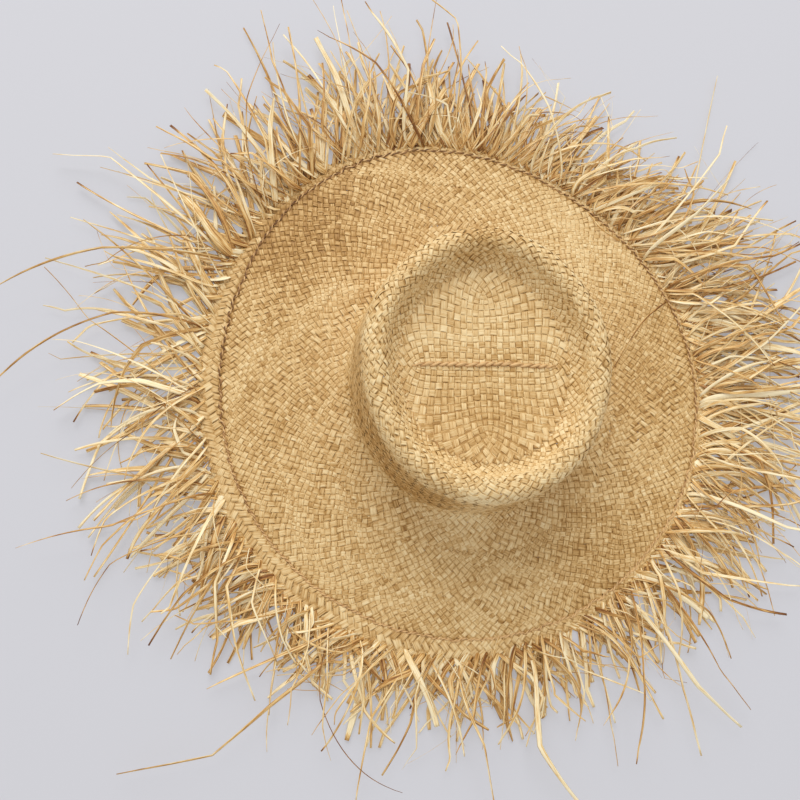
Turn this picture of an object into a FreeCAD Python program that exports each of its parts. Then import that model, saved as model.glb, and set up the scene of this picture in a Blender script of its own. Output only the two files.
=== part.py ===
"""A hand-plaited raffia sun hat: telescope crown, wide round brim and a frayed fringe.

The hat stands crown up on its brim. The origin is the centre of the head opening on the
resting plane, +Z is the crown's axis, and +Y is the long way of the head oval.
All lengths are millimetres.
"""

import FreeCAD, Part
import Sketcher
import math
import os
import random

from FreeCAD import Placement, Rotation, Vector

# ---------------------------------------------------------------------------------------
# Driving dimensions. Each one is a cell of the sheet, and the alias is its name here.
# ---------------------------------------------------------------------------------------

DIMENSIONS = {
    "crown_width": 182.0,  # outside of the crown's foot across the head
    "crown_length": 201.0,  # outside of the crown's foot from front to back
    "crown_height": 88.0,  # resting plane to the top of the ridge
    "fabric": 1.8,  # thickness of the plaited cloth
    "wall_lean": 3.0,  # how far the wall leans inwards on its way up
    "ridge_radius": 10.0,  # the rounded ridge around the top
    "recess_depth": 19.0,  # ridge top down to the recessed tip
    "recess_run": 8.0,  # how far the recess's wall slopes inwards
    "flare_radius": 7.0,  # sweep of the wall's foot into the brim
    "brim_rise": 9.0,  # underside of the brim above the resting plane, at the crown
    "brim_width": 92.5,  # crown's foot to the twined row
    "twine_width": 3.0,  # width of the twined row at the edge
    "margin_width": 15.0,  # plaited margin outside the twined row
    "band_height": 30.0,  # sweatband
    "band_thickness": 0.9,
    "fit_gap": 0.15,  # clearance between pieces that only touch
    "tip_row_length": 104.0,  # twined row across the tip
    "tip_row_pitch": 8.0,
    "tip_strand": 1.6,  # thickness of a twining strand
    "stitch_length": 5.0,
    "stitch_radius": 0.3,
    "strand_width": 5.0,  # a fringe strand
    "strand_thickness": 0.5,
    "fringe_length": 84.0,  # usual length of a fringe strand
    "stray_reach_side": 358.0,  # centre to the tips of the longest strands, left and right
    "stray_reach_long": 352.0,  # the same, front and back
}

STITCHES = 56
STITCH_HEIGHT = 2.5  # the stitches' line above the sweatband's lower edge
STITCH_CLEARANCE = 0.45  # between the slanting band and the straight stitches
TWIST_SPREAD = 1.06  # a twining strand's helix against its own radius, so that the two clear

SECTORS = 24
LOWER_STRANDS = 6  # per sector, lying close to the resting plane
UPPER_STRANDS = 5  # per sector, standing over the lower ones
LOWER_LIFT = 5.0  # how high a lower strand arches
UPPER_LIFT = 22.0  # how high an upper strand arches
SHORTEST, LONGEST = 0.82, 1.15  # range of the fringe strands' lengths
FLATTEST, STEEPEST = 0.7, 1.3  # range of their arches
DROOP = 0.45  # how much of its arch a strand loses again at its tip
ARCH_PLACE = 0.55  # where along its length a strand is highest
ROOT_LAP = 8.0  # how far an upper strand lies on the margin before it leaves it

document = FreeCAD.newDocument("straw_sun_hat")
sheet = document.addObject("Spreadsheet::Sheet", "dims")
for row, (alias, number) in enumerate(DIMENSIONS.items(), start=1):
    sheet.set(f"A{row}", alias.replace("_", " "))
    sheet.set(f"B{row}", str(number))
    sheet.setAlias(f"B{row}", alias)
document.recompute()


class Size:
    """A length worked out from the sheet: its number, and the expression that binds it."""

    def __init__(self, number, text):
        self.number = number
        self.text = text

    def __add__(self, other):
        return Size(self.number + other.number, f"({self.text} + {other.text})")

    def __sub__(self, other):
        return Size(self.number - other.number, f"({self.text} - {other.text})")

    def __mul__(self, factor):
        return Size(self.number * factor, f"({self.text} * {factor})")


def cell(alias):
    """The sheet's cell of that name as a Size."""
    return Size(float(sheet.get(alias)), f"dims.{alias}")


# ---------------------------------------------------------------------------------------
# Heights and offsets that the pieces share. Every offset is measured along +Y, from the
# axis, in the section through the long way of the hat.
# ---------------------------------------------------------------------------------------

FABRIC = cell("fabric")
FOOT = cell("crown_length") * 0.5
FOOT_SIDE = cell("crown_width") * 0.5
RIDGE_RADIUS = cell("ridge_radius")
WALL_TOP = cell("crown_height") - RIDGE_RADIUS
WALL_TOP_OUT = FOOT - cell("wall_lean")
BRIM_TOP = cell("brim_rise") + FABRIC
FLARE_END = FOOT + cell("flare_radius")
WALL_FOOT = BRIM_TOP + cell("flare_radius")
RIDGE_CENTRE = WALL_TOP_OUT - RIDGE_RADIUS
RECESS_TOP_IN = RIDGE_CENTRE - RIDGE_RADIUS
RECESS_END_IN = RECESS_TOP_IN - cell("recess_run")
TIP_TOP = cell("crown_height") - cell("recess_depth")
ROW_IN = FOOT + cell("brim_width")
ROW_OUT = ROW_IN + cell("twine_width")
MARGIN_OUT = ROW_OUT + cell("margin_width")


# ---------------------------------------------------------------------------------------
# Sketch helpers
# ---------------------------------------------------------------------------------------


def origin_plane(body, role):
    """The body's own origin plane with that role."""
    return next(f for f in body.Origin.OriginFeatures if f.Role == role)


def new_sketch(body, name, role):
    """An empty sketch on one of the body's origin planes."""
    sketch = body.newObject("Sketcher::SketchObject", name)
    sketch.AttachmentSupport = (origin_plane(body, role), [""])
    sketch.MapMode = "FlatFace"
    return sketch


def bind(sketch, kind, where, size):
    """Adds a dimension to the sketch and binds it to the sheet."""
    index = sketch.addConstraint(Sketcher.Constraint(kind, *where, size.number))
    sketch.setExpression(f"Constraints[{index}]", size.text)


def pin_point(sketch, edge, end, across, up):
    """Fixes a point of an edge at its distances from the sketch's origin."""
    bind(sketch, "DistanceX", (-1, 1, edge, end), across)
    if up is None:
        sketch.addConstraint(Sketcher.Constraint("PointOnObject", edge, end, -1))
    else:
        bind(sketch, "DistanceY", (-1, 1, edge, end), up)


def draw_ellipse(sketch, half_side, half_long):
    """Draws a closed oval around the axis, with its long way along Y."""
    long_end = Vector(0, half_long.number, 0)
    side_end = Vector(half_side.number, 0, 0)
    sketch.addGeometry(Part.Ellipse(long_end, side_end, Vector(0, 0, 0)), False)
    sketch.exposeInternalGeometry(0)
    sketch.addConstraint(Sketcher.Constraint("Coincident", 0, 3, -1, 1))
    sketch.addConstraint(Sketcher.Constraint("Vertical", 1))
    bind(sketch, "Distance", (1,), half_long * 2)
    bind(sketch, "Distance", (2,), half_side * 2)


def ellipse_sketch(body, name, half_side, half_long):
    """A sketch of the body that holds a closed oval around the axis."""
    sketch = new_sketch(body, name, "XY_Plane")
    draw_ellipse(sketch, half_side, half_long)
    return sketch


def flat_point(corner):
    """A corner of an outline as a vector in the sketch's plane."""
    across, up = corner
    return Vector(across.number, 0 if up is None else up.number, 0)


def arc_edge(start, end, centre, clockwise):
    """The arc from start to end about centre, and which of its ends comes first."""
    circle = Part.Circle(centre, Vector(0, 0, 1), (start - centre).Length)
    first, last = (end, start) if clockwise else (start, end)
    first_angle = math.atan2(first.y - centre.y, first.x - centre.x)
    last_angle = math.atan2(last.y - centre.y, last.x - centre.x)
    if last_angle <= first_angle:
        last_angle += 2 * math.pi
    ends = (2, 1) if clockwise else (1, 2)
    return Part.ArcOfCircle(circle, first_angle, last_angle), ends


def draw_outline(sketch, corners, arcs):
    """Draws a closed outline through the corners, each bound to the sheet.

    corners are (across, up), and up is None on the resting plane. arcs maps the number of
    a corner to (centre across, centre up, clockwise) where the edge that starts there is
    an arc, and every other edge is straight.
    """
    ends = []
    for number, corner in enumerate(corners):
        start = flat_point(corner)
        end = flat_point(corners[(number + 1) % len(corners)])
        if number in arcs:
            across, up, clockwise = arcs[number]
            edge, pair = arc_edge(start, end, Vector(across.number, up.number, 0), clockwise)
        else:
            edge, pair = Part.LineSegment(start, end), (1, 2)
        sketch.addGeometry(edge, False)
        ends.append(pair)
    for number, corner in enumerate(corners):
        before = number - 1 if number else len(corners) - 1
        joint = ("Coincident", before, ends[before][1], number, ends[number][0])
        sketch.addConstraint(Sketcher.Constraint(*joint))
        pin_point(sketch, number, ends[number][0], *corner)
    for number, (across, up, clockwise) in arcs.items():
        bind(sketch, "DistanceY", (-1, 1, number, 3), up)


def swept_body(label, corners, arcs=None):
    """A piece of constant section that follows the head oval all the way round."""
    body = document.addObject("PartDesign::Body", label)
    body.Label = label
    path = ellipse_sketch(body, f"{label}_oval", FOOT_SIDE, FOOT)
    section = new_sketch(body, f"{label}_section", "YZ_Plane")
    draw_outline(section, corners, arcs or {})
    document.recompute()
    sweep = body.newObject("PartDesign::AdditivePipe", f"{label}_sweep")
    sweep.Profile = (section, [""])
    sweep.Spine = (path, ["Edge1"])
    sweep.Mode = "Frenet"
    body.Tip = sweep
    return body


# ---------------------------------------------------------------------------------------
# Plaited body of the hat
# ---------------------------------------------------------------------------------------


def make_crown_tip():
    """The flat oval at the bottom of the recess."""
    body = document.addObject("PartDesign::Body", "crown_tip")
    body.Label = "crown_tip"
    inset = FOOT - RECESS_END_IN + cell("fit_gap") * 2
    sketch = ellipse_sketch(body, "crown_tip_oval", FOOT_SIDE - inset, FOOT - inset)
    document.recompute()
    plate = body.newObject("PartDesign::Pad", "crown_tip_plate")
    plate.Profile = (sketch, [""])
    plate.setExpression("Length", FABRIC.text)
    body.Tip = plate
    body.setExpression("Placement.Base.z", (TIP_TOP - FABRIC).text)
    return body


def make_crown_recess():
    """The sloping wall between the ridge and the tip."""
    corners = [
        (RECESS_TOP_IN, WALL_TOP),
        (RECESS_END_IN, TIP_TOP - FABRIC),
        (RECESS_END_IN + FABRIC, TIP_TOP - FABRIC),
        (RECESS_TOP_IN + FABRIC, WALL_TOP),
    ]
    return swept_body("crown_recess", corners)


def make_crown_ridge():
    """The half-round ridge along the top of the crown."""
    corners = [
        (WALL_TOP_OUT, WALL_TOP),
        (RECESS_TOP_IN, WALL_TOP),
        (RECESS_TOP_IN + FABRIC, WALL_TOP),
        (WALL_TOP_OUT - FABRIC, WALL_TOP),
    ]
    arcs = {
        0: (RIDGE_CENTRE, WALL_TOP, False),
        2: (RIDGE_CENTRE, WALL_TOP, True),
    }
    return swept_body("crown_ridge", corners, arcs)


def make_crown_wall():
    """The upright wall, leaning in a little towards the top."""
    corners = [
        (FOOT, WALL_FOOT),
        (WALL_TOP_OUT, WALL_TOP),
        (WALL_TOP_OUT - FABRIC, WALL_TOP),
        (FOOT - FABRIC, WALL_FOOT),
    ]
    return swept_body("crown_wall", corners)


def make_brim_flare():
    """The quarter round that turns the crown's wall out into the brim."""
    corners = [
        (FOOT, WALL_FOOT),
        (FLARE_END, BRIM_TOP),
        (FLARE_END, cell("brim_rise")),
        (FOOT - FABRIC, WALL_FOOT),
    ]
    arcs = {
        0: (FLARE_END, WALL_FOOT, False),
        2: (FLARE_END, WALL_FOOT, True),
    }
    return swept_body("brim_flare", corners, arcs)


def make_brim():
    """The brim, from the flare down to the twined row."""
    corners = [
        (FLARE_END, BRIM_TOP),
        (ROW_IN, FABRIC),
        (ROW_IN, None),
        (FLARE_END, cell("brim_rise")),
    ]
    return swept_body("brim", corners)


def make_edge_twining():
    """The row of two twisted strands that locks the plait around the edge."""
    corners = [
        (ROW_IN, None),
        (ROW_OUT, None),
        (ROW_OUT, FABRIC),
        (ROW_IN, FABRIC),
    ]
    middle = ROW_IN + cell("twine_width") * 0.5
    return swept_body("edge_twining", corners, {2: (middle, FABRIC, False)})


def make_brim_margin():
    """The narrow plaited margin outside the twined row, planed flat underneath."""
    spare = cell("fabric") * 0.5
    corners = [
        (ROW_OUT, None),
        (MARGIN_OUT, None),
        (MARGIN_OUT, FABRIC + spare),
        (ROW_OUT, FABRIC + spare),
    ]
    body = swept_body("brim_margin", corners)
    waste = ellipse_sketch(body, "brim_margin_waste", MARGIN_OUT + spare, MARGIN_OUT * 1.1)
    document.recompute()
    plane_cut = body.newObject("PartDesign::Pocket", "brim_margin_flat")
    plane_cut.Profile = (waste, [""])
    plane_cut.Reversed = True
    plane_cut.setExpression("Length", spare.text)
    body.Tip = plane_cut
    body.setExpression("Placement.Base.z", (spare * -1).text)
    return body


# ---------------------------------------------------------------------------------------
# Sweatband and its stitches
# ---------------------------------------------------------------------------------------


def band_lean():
    """How far the wall leans in over the height of the band."""
    wall_height = WALL_TOP.number - WALL_FOOT.number
    return cell("wall_lean") * round(cell("band_height").number / wall_height, 4)


def make_sweatband():
    """The ribbon inside the crown's foot that touches the head."""
    foot_out = FOOT - FABRIC - cell("fit_gap")
    top_out = foot_out - band_lean()
    corners = [
        (foot_out, WALL_FOOT),
        (top_out, WALL_FOOT + cell("band_height")),
        (top_out - cell("band_thickness"), WALL_FOOT + cell("band_height")),
        (foot_out - cell("band_thickness"), WALL_FOOT),
    ]
    return swept_body("sweatband", corners)


def oval_point(offset, angle, height=0.0):
    """A point beside the head oval, its outward direction and that direction's angle.

    offset is the distance outwards from the outside of the crown's foot.
    """
    side, long = FOOT_SIDE.number, FOOT.number
    outward = Vector(math.cos(angle) / side, math.sin(angle) / long, 0).normalize()
    foot = Vector(side * math.cos(angle), long * math.sin(angle), height)
    return foot + outward * offset, outward


def make_sweatband_stitches():
    """The running stitches that hold the band's lower edge, seen from inside."""
    radius = cell("stitch_radius").number
    length = cell("stitch_length").number
    inset = FABRIC.number + cell("fit_gap").number + cell("band_thickness").number
    height = WALL_FOOT.number + STITCH_HEIGHT
    stitches = []
    for number in range(STITCHES):
        angle = 2 * math.pi * number / STITCHES
        middle, outward = oval_point(-inset - STITCH_CLEARANCE - radius, angle, height)
        along = Vector(0, 0, 1).cross(outward)
        stitches.append(Part.makeCylinder(radius, length, middle - along * length / 2, along))
    return shape_feature("sweatband_stitches", Part.makeCompound(stitches))


def shape_feature(label, shape):
    """A piece whose shape is worked out by formula."""
    feature = document.addObject("Part::Feature", label)
    feature.Label = label
    feature.Shape = shape
    feature.Placement = shape.Placement
    return feature


# ---------------------------------------------------------------------------------------
# Twined row across the tip: two strands twisted round each other
# ---------------------------------------------------------------------------------------


def make_tip_strand(label, turn):
    """One of the two strands, as a round section swept along a helix lying along X."""
    lie_down = Rotation(Vector(0, 1, 0), 90).multiply(Rotation(Vector(0, 0, 1), turn))
    radius = cell("tip_strand") * 0.5
    height = TIP_TOP.number + cell("fit_gap").number + 2 * radius.number
    start = Vector(-cell("tip_row_length").number / 2, 0, height)
    helix = document.addObject("Part::Helix", f"{label}_path")
    helix.setExpression("Radius", (radius * TWIST_SPREAD).text)
    helix.setExpression("Pitch", cell("tip_row_pitch").text)
    helix.setExpression("Height", cell("tip_row_length").text)
    helix.Placement = Placement(start, lie_down)
    circle = document.addObject("Part::Circle", f"{label}_section")
    circle.setExpression("Radius", radius.text)
    steepness = math.degrees(math.atan2(2 * math.pi * radius.number, cell("tip_row_pitch").number))
    face_along = Rotation(Vector(1, 0, 0), -steepness)
    first = start + lie_down.multVec(Vector(radius.number * TWIST_SPREAD, 0, 0))
    circle.Placement = Placement(first, lie_down.multiply(face_along))
    sweep = document.addObject("Part::Sweep", label)
    sweep.Label = label
    sweep.Sections = [circle]
    sweep.Spine = (helix, ["Edge1"])
    sweep.Solid = True
    sweep.Frenet = True
    return sweep


# ---------------------------------------------------------------------------------------
# Fringe: the loose ends of the plaiting strands
# ---------------------------------------------------------------------------------------


def strand_solid(root, heading, length, lift, drop, width, thickness):
    """A flat strand that leaves root along heading, arches up by lift and ends drop lower.

    heading is the angle in plan. The strand is a bent strip of constant thickness.
    """
    end_height = root.z + lift - drop
    middle_height = root.z + lift
    lower = Part.Arc(
        Vector(0, 0, root.z),
        Vector(length * ARCH_PLACE, 0, middle_height),
        Vector(length, 0, end_height),
    )
    upper = Part.Arc(
        Vector(0, 0, root.z + thickness),
        Vector(length * ARCH_PLACE, 0, middle_height + thickness),
        Vector(length, 0, end_height + thickness),
    )
    tip = Part.LineSegment(lower.EndPoint, upper.EndPoint)
    base = Part.LineSegment(upper.StartPoint, lower.StartPoint)
    edges = [lower.toShape(), tip.toShape(), upper.toShape(), base.toShape()]
    side = Part.Face(Part.Wire(Part.__sortEdges__(edges)))
    strip = side.extrude(Vector(0, width, 0))
    strip.translate(Vector(0, -width / 2, 0))
    strip.rotate(Vector(0, 0, 0), Vector(0, 0, 1), math.degrees(heading))
    strip.translate(Vector(root.x, root.y, 0))
    return strip


def sway(angle):
    """How far the strands lean round the brim at an angle, in radians."""
    return 0.16 * math.sin(2 * angle + 0.6) - 0.06 * math.sin(5 * angle)


def fringe_layer(sector, count, beyond_edge, height, lift, draws):
    """One layer of a sector's strands, side by side, from just beyond or inside the edge."""
    width = cell("strand_width").number
    thickness = cell("strand_thickness").number
    edge = MARGIN_OUT.number - FOOT.number
    strands = []
    for number in range(count):
        angle = 2 * math.pi * (sector + (number + 0.5) / count) / SECTORS
        root, outward = oval_point(edge + beyond_edge, angle, height)
        heading = math.atan2(outward.y, outward.x) + sway(angle)
        length = cell("fringe_length").number * draws.uniform(SHORTEST, LONGEST)
        rise = lift * draws.uniform(FLATTEST, STEEPEST)
        drop = rise * DROOP
        strands.append(strand_solid(root, heading, length, rise, drop, width, thickness))
    return strands


def make_fringe_sector(sector):
    """A sector's share of the fringe, as separate strands in two layers.

    The lower strands leave the margin's edge, and the upper ones lie on top of it first.
    """
    draws = random.Random(sector)
    gap = cell("fit_gap").number
    on_top = FABRIC.number + gap / 3
    strands = fringe_layer(sector, LOWER_STRANDS, gap, gap, LOWER_LIFT, draws)
    strands += fringe_layer(sector, UPPER_STRANDS, -ROOT_LAP, on_top, UPPER_LIFT, draws)
    return shape_feature(f"fringe_{sector + 1:02d}", Part.makeCompound(strands))


# The long strands that stand out of the fringe: where each leaves the margin, in degrees
# round the oval, its length, its lean and its lift. Those on the axes reach furthest.
STRAYS = [
    (0.0, None, 0.0, 30.0),
    (28.0, 128.0, -0.08, 40.0),
    (62.0, 122.0, 0.12, 40.0),
    (90.0, None, 0.0, 34.0),
    (118.0, 136.0, -0.22, 40.0),
    (151.0, 166.0, 0.62, 36.0),
    (180.0, None, 0.0, 26.0),
    (207.0, 130.0, -0.14, 40.0),
    (238.0, 158.0, -0.36, 30.0),
    (270.0, None, 0.0, 32.0),
    (303.0, 130.0, 0.06, 36.0),
    (332.0, 126.0, 0.05, 40.0),
]
STRAY_WIDTH = 0.6  # against a fringe strand's width
STRAY_DROOP = 0.6


def make_stray_strand(number, degrees, length, lean, lift):
    """One long strand. A length of None reaches to the far extent on its axis."""
    angle = math.radians(degrees)
    over_fringe = FABRIC.number + cell("strand_thickness").number + cell("fit_gap").number
    root, outward = oval_point(MARGIN_OUT.number - FOOT.number - ROOT_LAP, angle, over_fringe)
    if length is None:
        on_side = abs(outward.x) > abs(outward.y)
        reach = cell("stray_reach_side" if on_side else "stray_reach_long").number
        length = reach - math.hypot(root.x, root.y)
    heading = math.atan2(outward.y, outward.x) + lean
    width = cell("strand_width").number * STRAY_WIDTH
    thickness = cell("strand_thickness").number
    strip = strand_solid(root, heading, length, lift, lift * STRAY_DROOP, width, thickness)
    return shape_feature(f"stray_strand_{number:02d}", strip)


# The two thin ends that stand off the brim: each leaves it just inside the twined row.
LOOSE_WIDTH = 0.3  # against a fringe strand's width
LOOSE_STRAND = {"degrees": 24, "inside_row": 4.0, "height": 8.0, "length": 72.0}
LOOSE_LOOP = {"degrees": 47, "inside_row": 5.0, "height": 4.5, "length": 26.0}


def make_loose_end(label, place, turn, lift, drop):
    """A thin end that leaves the brim at its place, turned from the outward direction."""
    offset = cell("brim_width").number - place["inside_row"]
    root, outward = oval_point(offset, math.radians(place["degrees"]), place["height"])
    heading = math.atan2(outward.y, outward.x) + turn
    width = cell("strand_width").number * LOOSE_WIDTH
    thickness = cell("strand_thickness").number
    strip = strand_solid(root, heading, place["length"], lift, drop, width, thickness)
    return shape_feature(label, strip)


def make_loose_strand():
    """A broken strand that arches over the brim from the twined row to the crown."""
    return make_loose_end("loose_strand", LOOSE_STRAND, math.pi - 0.15, 13.0, 1.0)


def make_loose_loop():
    """A strand end that stands off the twined row in a small bow."""
    return make_loose_end("loose_loop", LOOSE_LOOP, -math.pi / 2, 6.0, 6.0)


# ---------------------------------------------------------------------------------------
# The hat
# ---------------------------------------------------------------------------------------

pieces = [
    make_crown_tip(),
    make_crown_recess(),
    make_crown_ridge(),
    make_crown_wall(),
    make_brim_flare(),
    make_brim(),
    make_edge_twining(),
    make_brim_margin(),
    make_sweatband(),
    make_sweatband_stitches(),
    make_tip_strand("tip_twining_first", 0.0),
    make_tip_strand("tip_twining_second", 180.0),
    make_loose_strand(),
    make_loose_loop(),
]
pieces += [make_fringe_sector(sector) for sector in range(SECTORS)]
pieces += [make_stray_strand(number, *stray) for number, stray in enumerate(STRAYS, start=1)]

document.recompute()

failed = [o.Name for o in document.Objects if {"Invalid", "Error"} & set(o.State)]
if failed:
    raise RuntimeError(f"these objects failed: {failed}")
for piece in pieces:
    if piece.Shape.isNull() or not piece.Shape.isValid():
        raise RuntimeError(f"{piece.Label} has no valid shape")

os.makedirs("parts", exist_ok=True)
for piece in pieces:
    piece.Shape.exportStep(f"parts/{piece.Label}.step")
    print(piece.Label, round(piece.Shape.Volume), len(piece.Shape.Solids))
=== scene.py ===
"""Looks of the plaited raffia sun hat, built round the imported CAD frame.

The cloth is made of real crossing strands. Lengths are metres, +Z is up and +Y is the
long way of the head oval. The hat's sizes come from the boxes of the CAD nodes.
"""

import math

import bpy
import numpy as np
from mathutils import Euler, Matrix, Vector


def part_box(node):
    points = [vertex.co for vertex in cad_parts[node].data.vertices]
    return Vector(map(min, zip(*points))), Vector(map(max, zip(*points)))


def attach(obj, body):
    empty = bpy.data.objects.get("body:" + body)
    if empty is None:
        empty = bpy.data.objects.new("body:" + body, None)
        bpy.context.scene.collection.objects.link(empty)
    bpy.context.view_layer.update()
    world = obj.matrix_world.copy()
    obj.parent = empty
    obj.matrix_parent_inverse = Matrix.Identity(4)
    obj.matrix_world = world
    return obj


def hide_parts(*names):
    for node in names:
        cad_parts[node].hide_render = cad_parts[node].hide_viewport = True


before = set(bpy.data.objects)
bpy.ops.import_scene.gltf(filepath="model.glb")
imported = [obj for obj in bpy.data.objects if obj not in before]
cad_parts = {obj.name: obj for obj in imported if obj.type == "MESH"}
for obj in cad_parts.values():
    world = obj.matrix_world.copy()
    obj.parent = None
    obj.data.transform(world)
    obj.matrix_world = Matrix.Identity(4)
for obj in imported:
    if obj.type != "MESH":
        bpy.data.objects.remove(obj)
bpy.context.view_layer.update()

MM = 0.001
TURN = 2 * math.pi

# ---- Sizes read from the frame ----

_, wall_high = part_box("crown_wall")
ridge_low, ridge_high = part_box("crown_ridge")
tip_low, tip_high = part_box("crown_tip")
_, flare_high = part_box("brim_flare")
_, row_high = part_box("edge_twining")
_, margin_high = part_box("brim_margin")
tip_row_low, tip_row_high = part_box("tip_twining_first")
band_low, band_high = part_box("sweatband")

FOOT_SIDE = wall_high.x  # the two half axes of the head oval, which is the crown's foot
FOOT_LONG = wall_high.y
FABRIC = tip_high.z - tip_low.z
RIDGE_RADIUS = ridge_high.z - ridge_low.z
RIDGE_OUT = ridge_high.x - FOOT_SIDE  # "out" is how far outside the head oval something ends
TIP_OUT = tip_high.x - FOOT_SIDE
FLARE_OUT = flare_high.x - FOOT_SIDE
FLARE_TOP = flare_high.z
MARGIN_OUT = margin_high.x - FOOT_SIDE
ROW_OUT = row_high.x - FOOT_SIDE
ROW_WIDTH = 3 * MM
BAND_OUT = band_high.x - FOOT_SIDE
BAND_HEIGHT = band_high.z - band_low.z

# ---- The head oval: places go round it by t, from 0 at +X to 1, in equal lengths ----

OVAL_STEPS = 4096
oval_angle = np.linspace(0, TURN, OVAL_STEPS + 1)
oval_x = FOOT_SIDE * np.cos(oval_angle)
oval_y = FOOT_LONG * np.sin(oval_angle)
oval_length = np.concatenate([[0], np.cumsum(np.hypot(np.diff(oval_x), np.diff(oval_y)))])
OVAL_ROUND = oval_length[-1]


def oval_place(t):
    """The point of the head oval at t and its outward direction, as two pairs."""
    length = np.mod(t, 1.0) * OVAL_ROUND
    angle = np.interp(length, oval_length, oval_angle)
    x, y = FOOT_SIDE * np.cos(angle), FOOT_LONG * np.sin(angle)
    out_x, out_y = np.cos(angle) / FOOT_SIDE, np.sin(angle) / FOOT_LONG
    size = np.hypot(out_x, out_y)
    return x, y, out_x / size, out_y / size


def t_at_angle(degrees):
    """The place round the oval that lies at that angle from its centre."""
    angle = np.radians(np.mod(degrees, 360))
    eccentric = np.mod(np.arctan2(np.sin(angle) / FOOT_LONG, np.cos(angle) / FOOT_SIDE), TURN)
    return np.interp(eccentric, oval_angle, oval_length) / OVAL_ROUND


def round_at(offset):
    """Length round the line that lies offset outside the head oval."""
    return OVAL_ROUND + TURN * offset


# ---- The section of the cloth, from inside the tip out past the margin ----

SECTION_STEP = 0.25 * MM
SECTION_SOFTNESS = 2.6 * MM  # how gently the cloth turns at each crease
SECTION_INSIDE = 8 * MM  # how far inside the tip's edge the section begins
SECTION_BEYOND = 20 * MM  # how far past the margin it goes on


def arc_points(centre, radius, first, last, count=24):
    """Points on an arc of the section, with angles in degrees."""
    angle = np.radians(np.linspace(first, last, count))
    return [(centre[0] + radius * math.cos(a), centre[1] + radius * math.sin(a)) for a in angle]


def section_corners():
    """The visible side of the cloth as (offset from the head oval, height)."""
    points = [(TIP_OUT - SECTION_INSIDE, tip_high.z), (TIP_OUT, tip_high.z)]
    points += arc_points((RIDGE_OUT - RIDGE_RADIUS, ridge_low.z), RIDGE_RADIUS, 180, 0)
    points += arc_points((FLARE_OUT, FLARE_TOP), FLARE_OUT, 180, 270)
    points += [(ROW_OUT - ROW_WIDTH, FABRIC), (MARGIN_OUT + SECTION_BEYOND, FABRIC)]
    return np.array(points)


def smooth_line(values, spread):
    """Gaussian smoothing of a sampled line that holds its two ends."""
    reach = int(3 * spread)
    weight = np.exp(-0.5 * (np.arange(-reach, reach + 1) / spread) ** 2)
    weight /= weight.sum()
    head = 2 * values[0] - values[reach:0:-1]
    tail = 2 * values[-1] - values[-2:-reach - 2:-1]
    return np.convolve(np.concatenate([head, values, tail]), weight, "valid")


def resample(points, step):
    """The line through the points at equal steps along its length."""
    length = np.concatenate([[0], np.cumsum(np.linalg.norm(np.diff(points, axis=0), axis=1))])
    even = np.arange(0, length[-1], step)
    return np.stack([np.interp(even, length, points[:, axis]) for axis in (0, 1)], 1)


section = resample(section_corners(), SECTION_STEP)
section = np.stack([smooth_line(section[:, axis], SECTION_SOFTNESS / SECTION_STEP) for axis in (0, 1)], 1)
section = resample(section, SECTION_STEP)
section_s = np.arange(len(section)) * SECTION_STEP
section_along = np.gradient(section, SECTION_STEP, axis=0)
section_along /= np.linalg.norm(section_along, axis=1)[:, None]


def offset_at(s):
    """How far outside the head oval the section is at a length along it."""
    return np.interp(s, section_s, section[:, 0])


def section_at_offset(offset, after=0.0):
    """Length along the section where it reaches an offset, past a given length."""
    later = section_s >= after
    return float(section_s[later][np.argmin(np.abs(section[later, 0] - offset))])


S_TIP_EDGE = section_at_offset(TIP_OUT)
S_RIDGE = float(section_s[np.argmax(section[:, 1])])
S_FLARE = float(section_s[np.argmax((section_s > S_RIDGE) & (section[:, 1] < FLARE_TOP))])
S_ROW = section_at_offset(ROW_OUT - ROW_WIDTH / 2, S_FLARE)
S_MARGIN = section_at_offset(MARGIN_OUT, S_FLARE)

# ---- Hand-made unevenness shared by every piece ----


def unit(vectors):
    """Vectors scaled to length 1."""
    return vectors / np.maximum(np.linalg.norm(vectors, axis=-1, keepdims=True), 1e-12)


def soften(x):
    """Smooth step from 0 to 1."""
    x = np.clip(x, 0, 1)
    return x * x * (3 - 2 * x)


def waves(seed, count, lowest, highest):
    """Random sines round the hat: (turns, phase, share) for each."""
    draws = np.random.default_rng(seed)
    turns = draws.integers(lowest, highest + 1, count)
    share = draws.uniform(0.5, 1.0, count)
    return list(zip(turns, draws.uniform(0, TURN, count), share / share.sum()))


def wave_sum(around, terms):
    """The waves at angles round the hat, between about -1 and 1."""
    return sum(share * np.sin(turns * around + phase) for turns, phase, share in terms)


BRIM_WAVES = waves(3, 5, 2, 7)
CROWN_WAVES = waves(5, 4, 2, 5)
# How the edge sways in and out, as (waves round the hat, cosine and sine in millimetres)
EDGE_SWAY = ((2, 2.9, -3.1), (3, 2.6, -0.8), (4, 0.0, 1.0))
SWAY_CORE = 20 * MM  # the sway fades towards the axis inside this radius
ROW_PINCH = 0.55 * MM  # how deep the twined row pulls the cloth in
ROW_PINCH_WIDTH = 1.25 * MM
BRIM_LIFT = 2.6 * MM
CROWN_DENT = 1.3 * MM
RAMP_START = -18 * MM  # where the recess's floor begins to rise towards the front
RAMP_END = -96 * MM
RAMP_SHARE = 0.6  # how much of the recess's depth is gone at the front
RAMP_FADE = 0.06  # over which share of the ridge's oval the ramp sets in at its side
# Small steps round and out along the cloth, to find which way it faces
NUDGE_ROUND = 0.0005
NUDGE_OUT = 0.3 * MM


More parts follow.
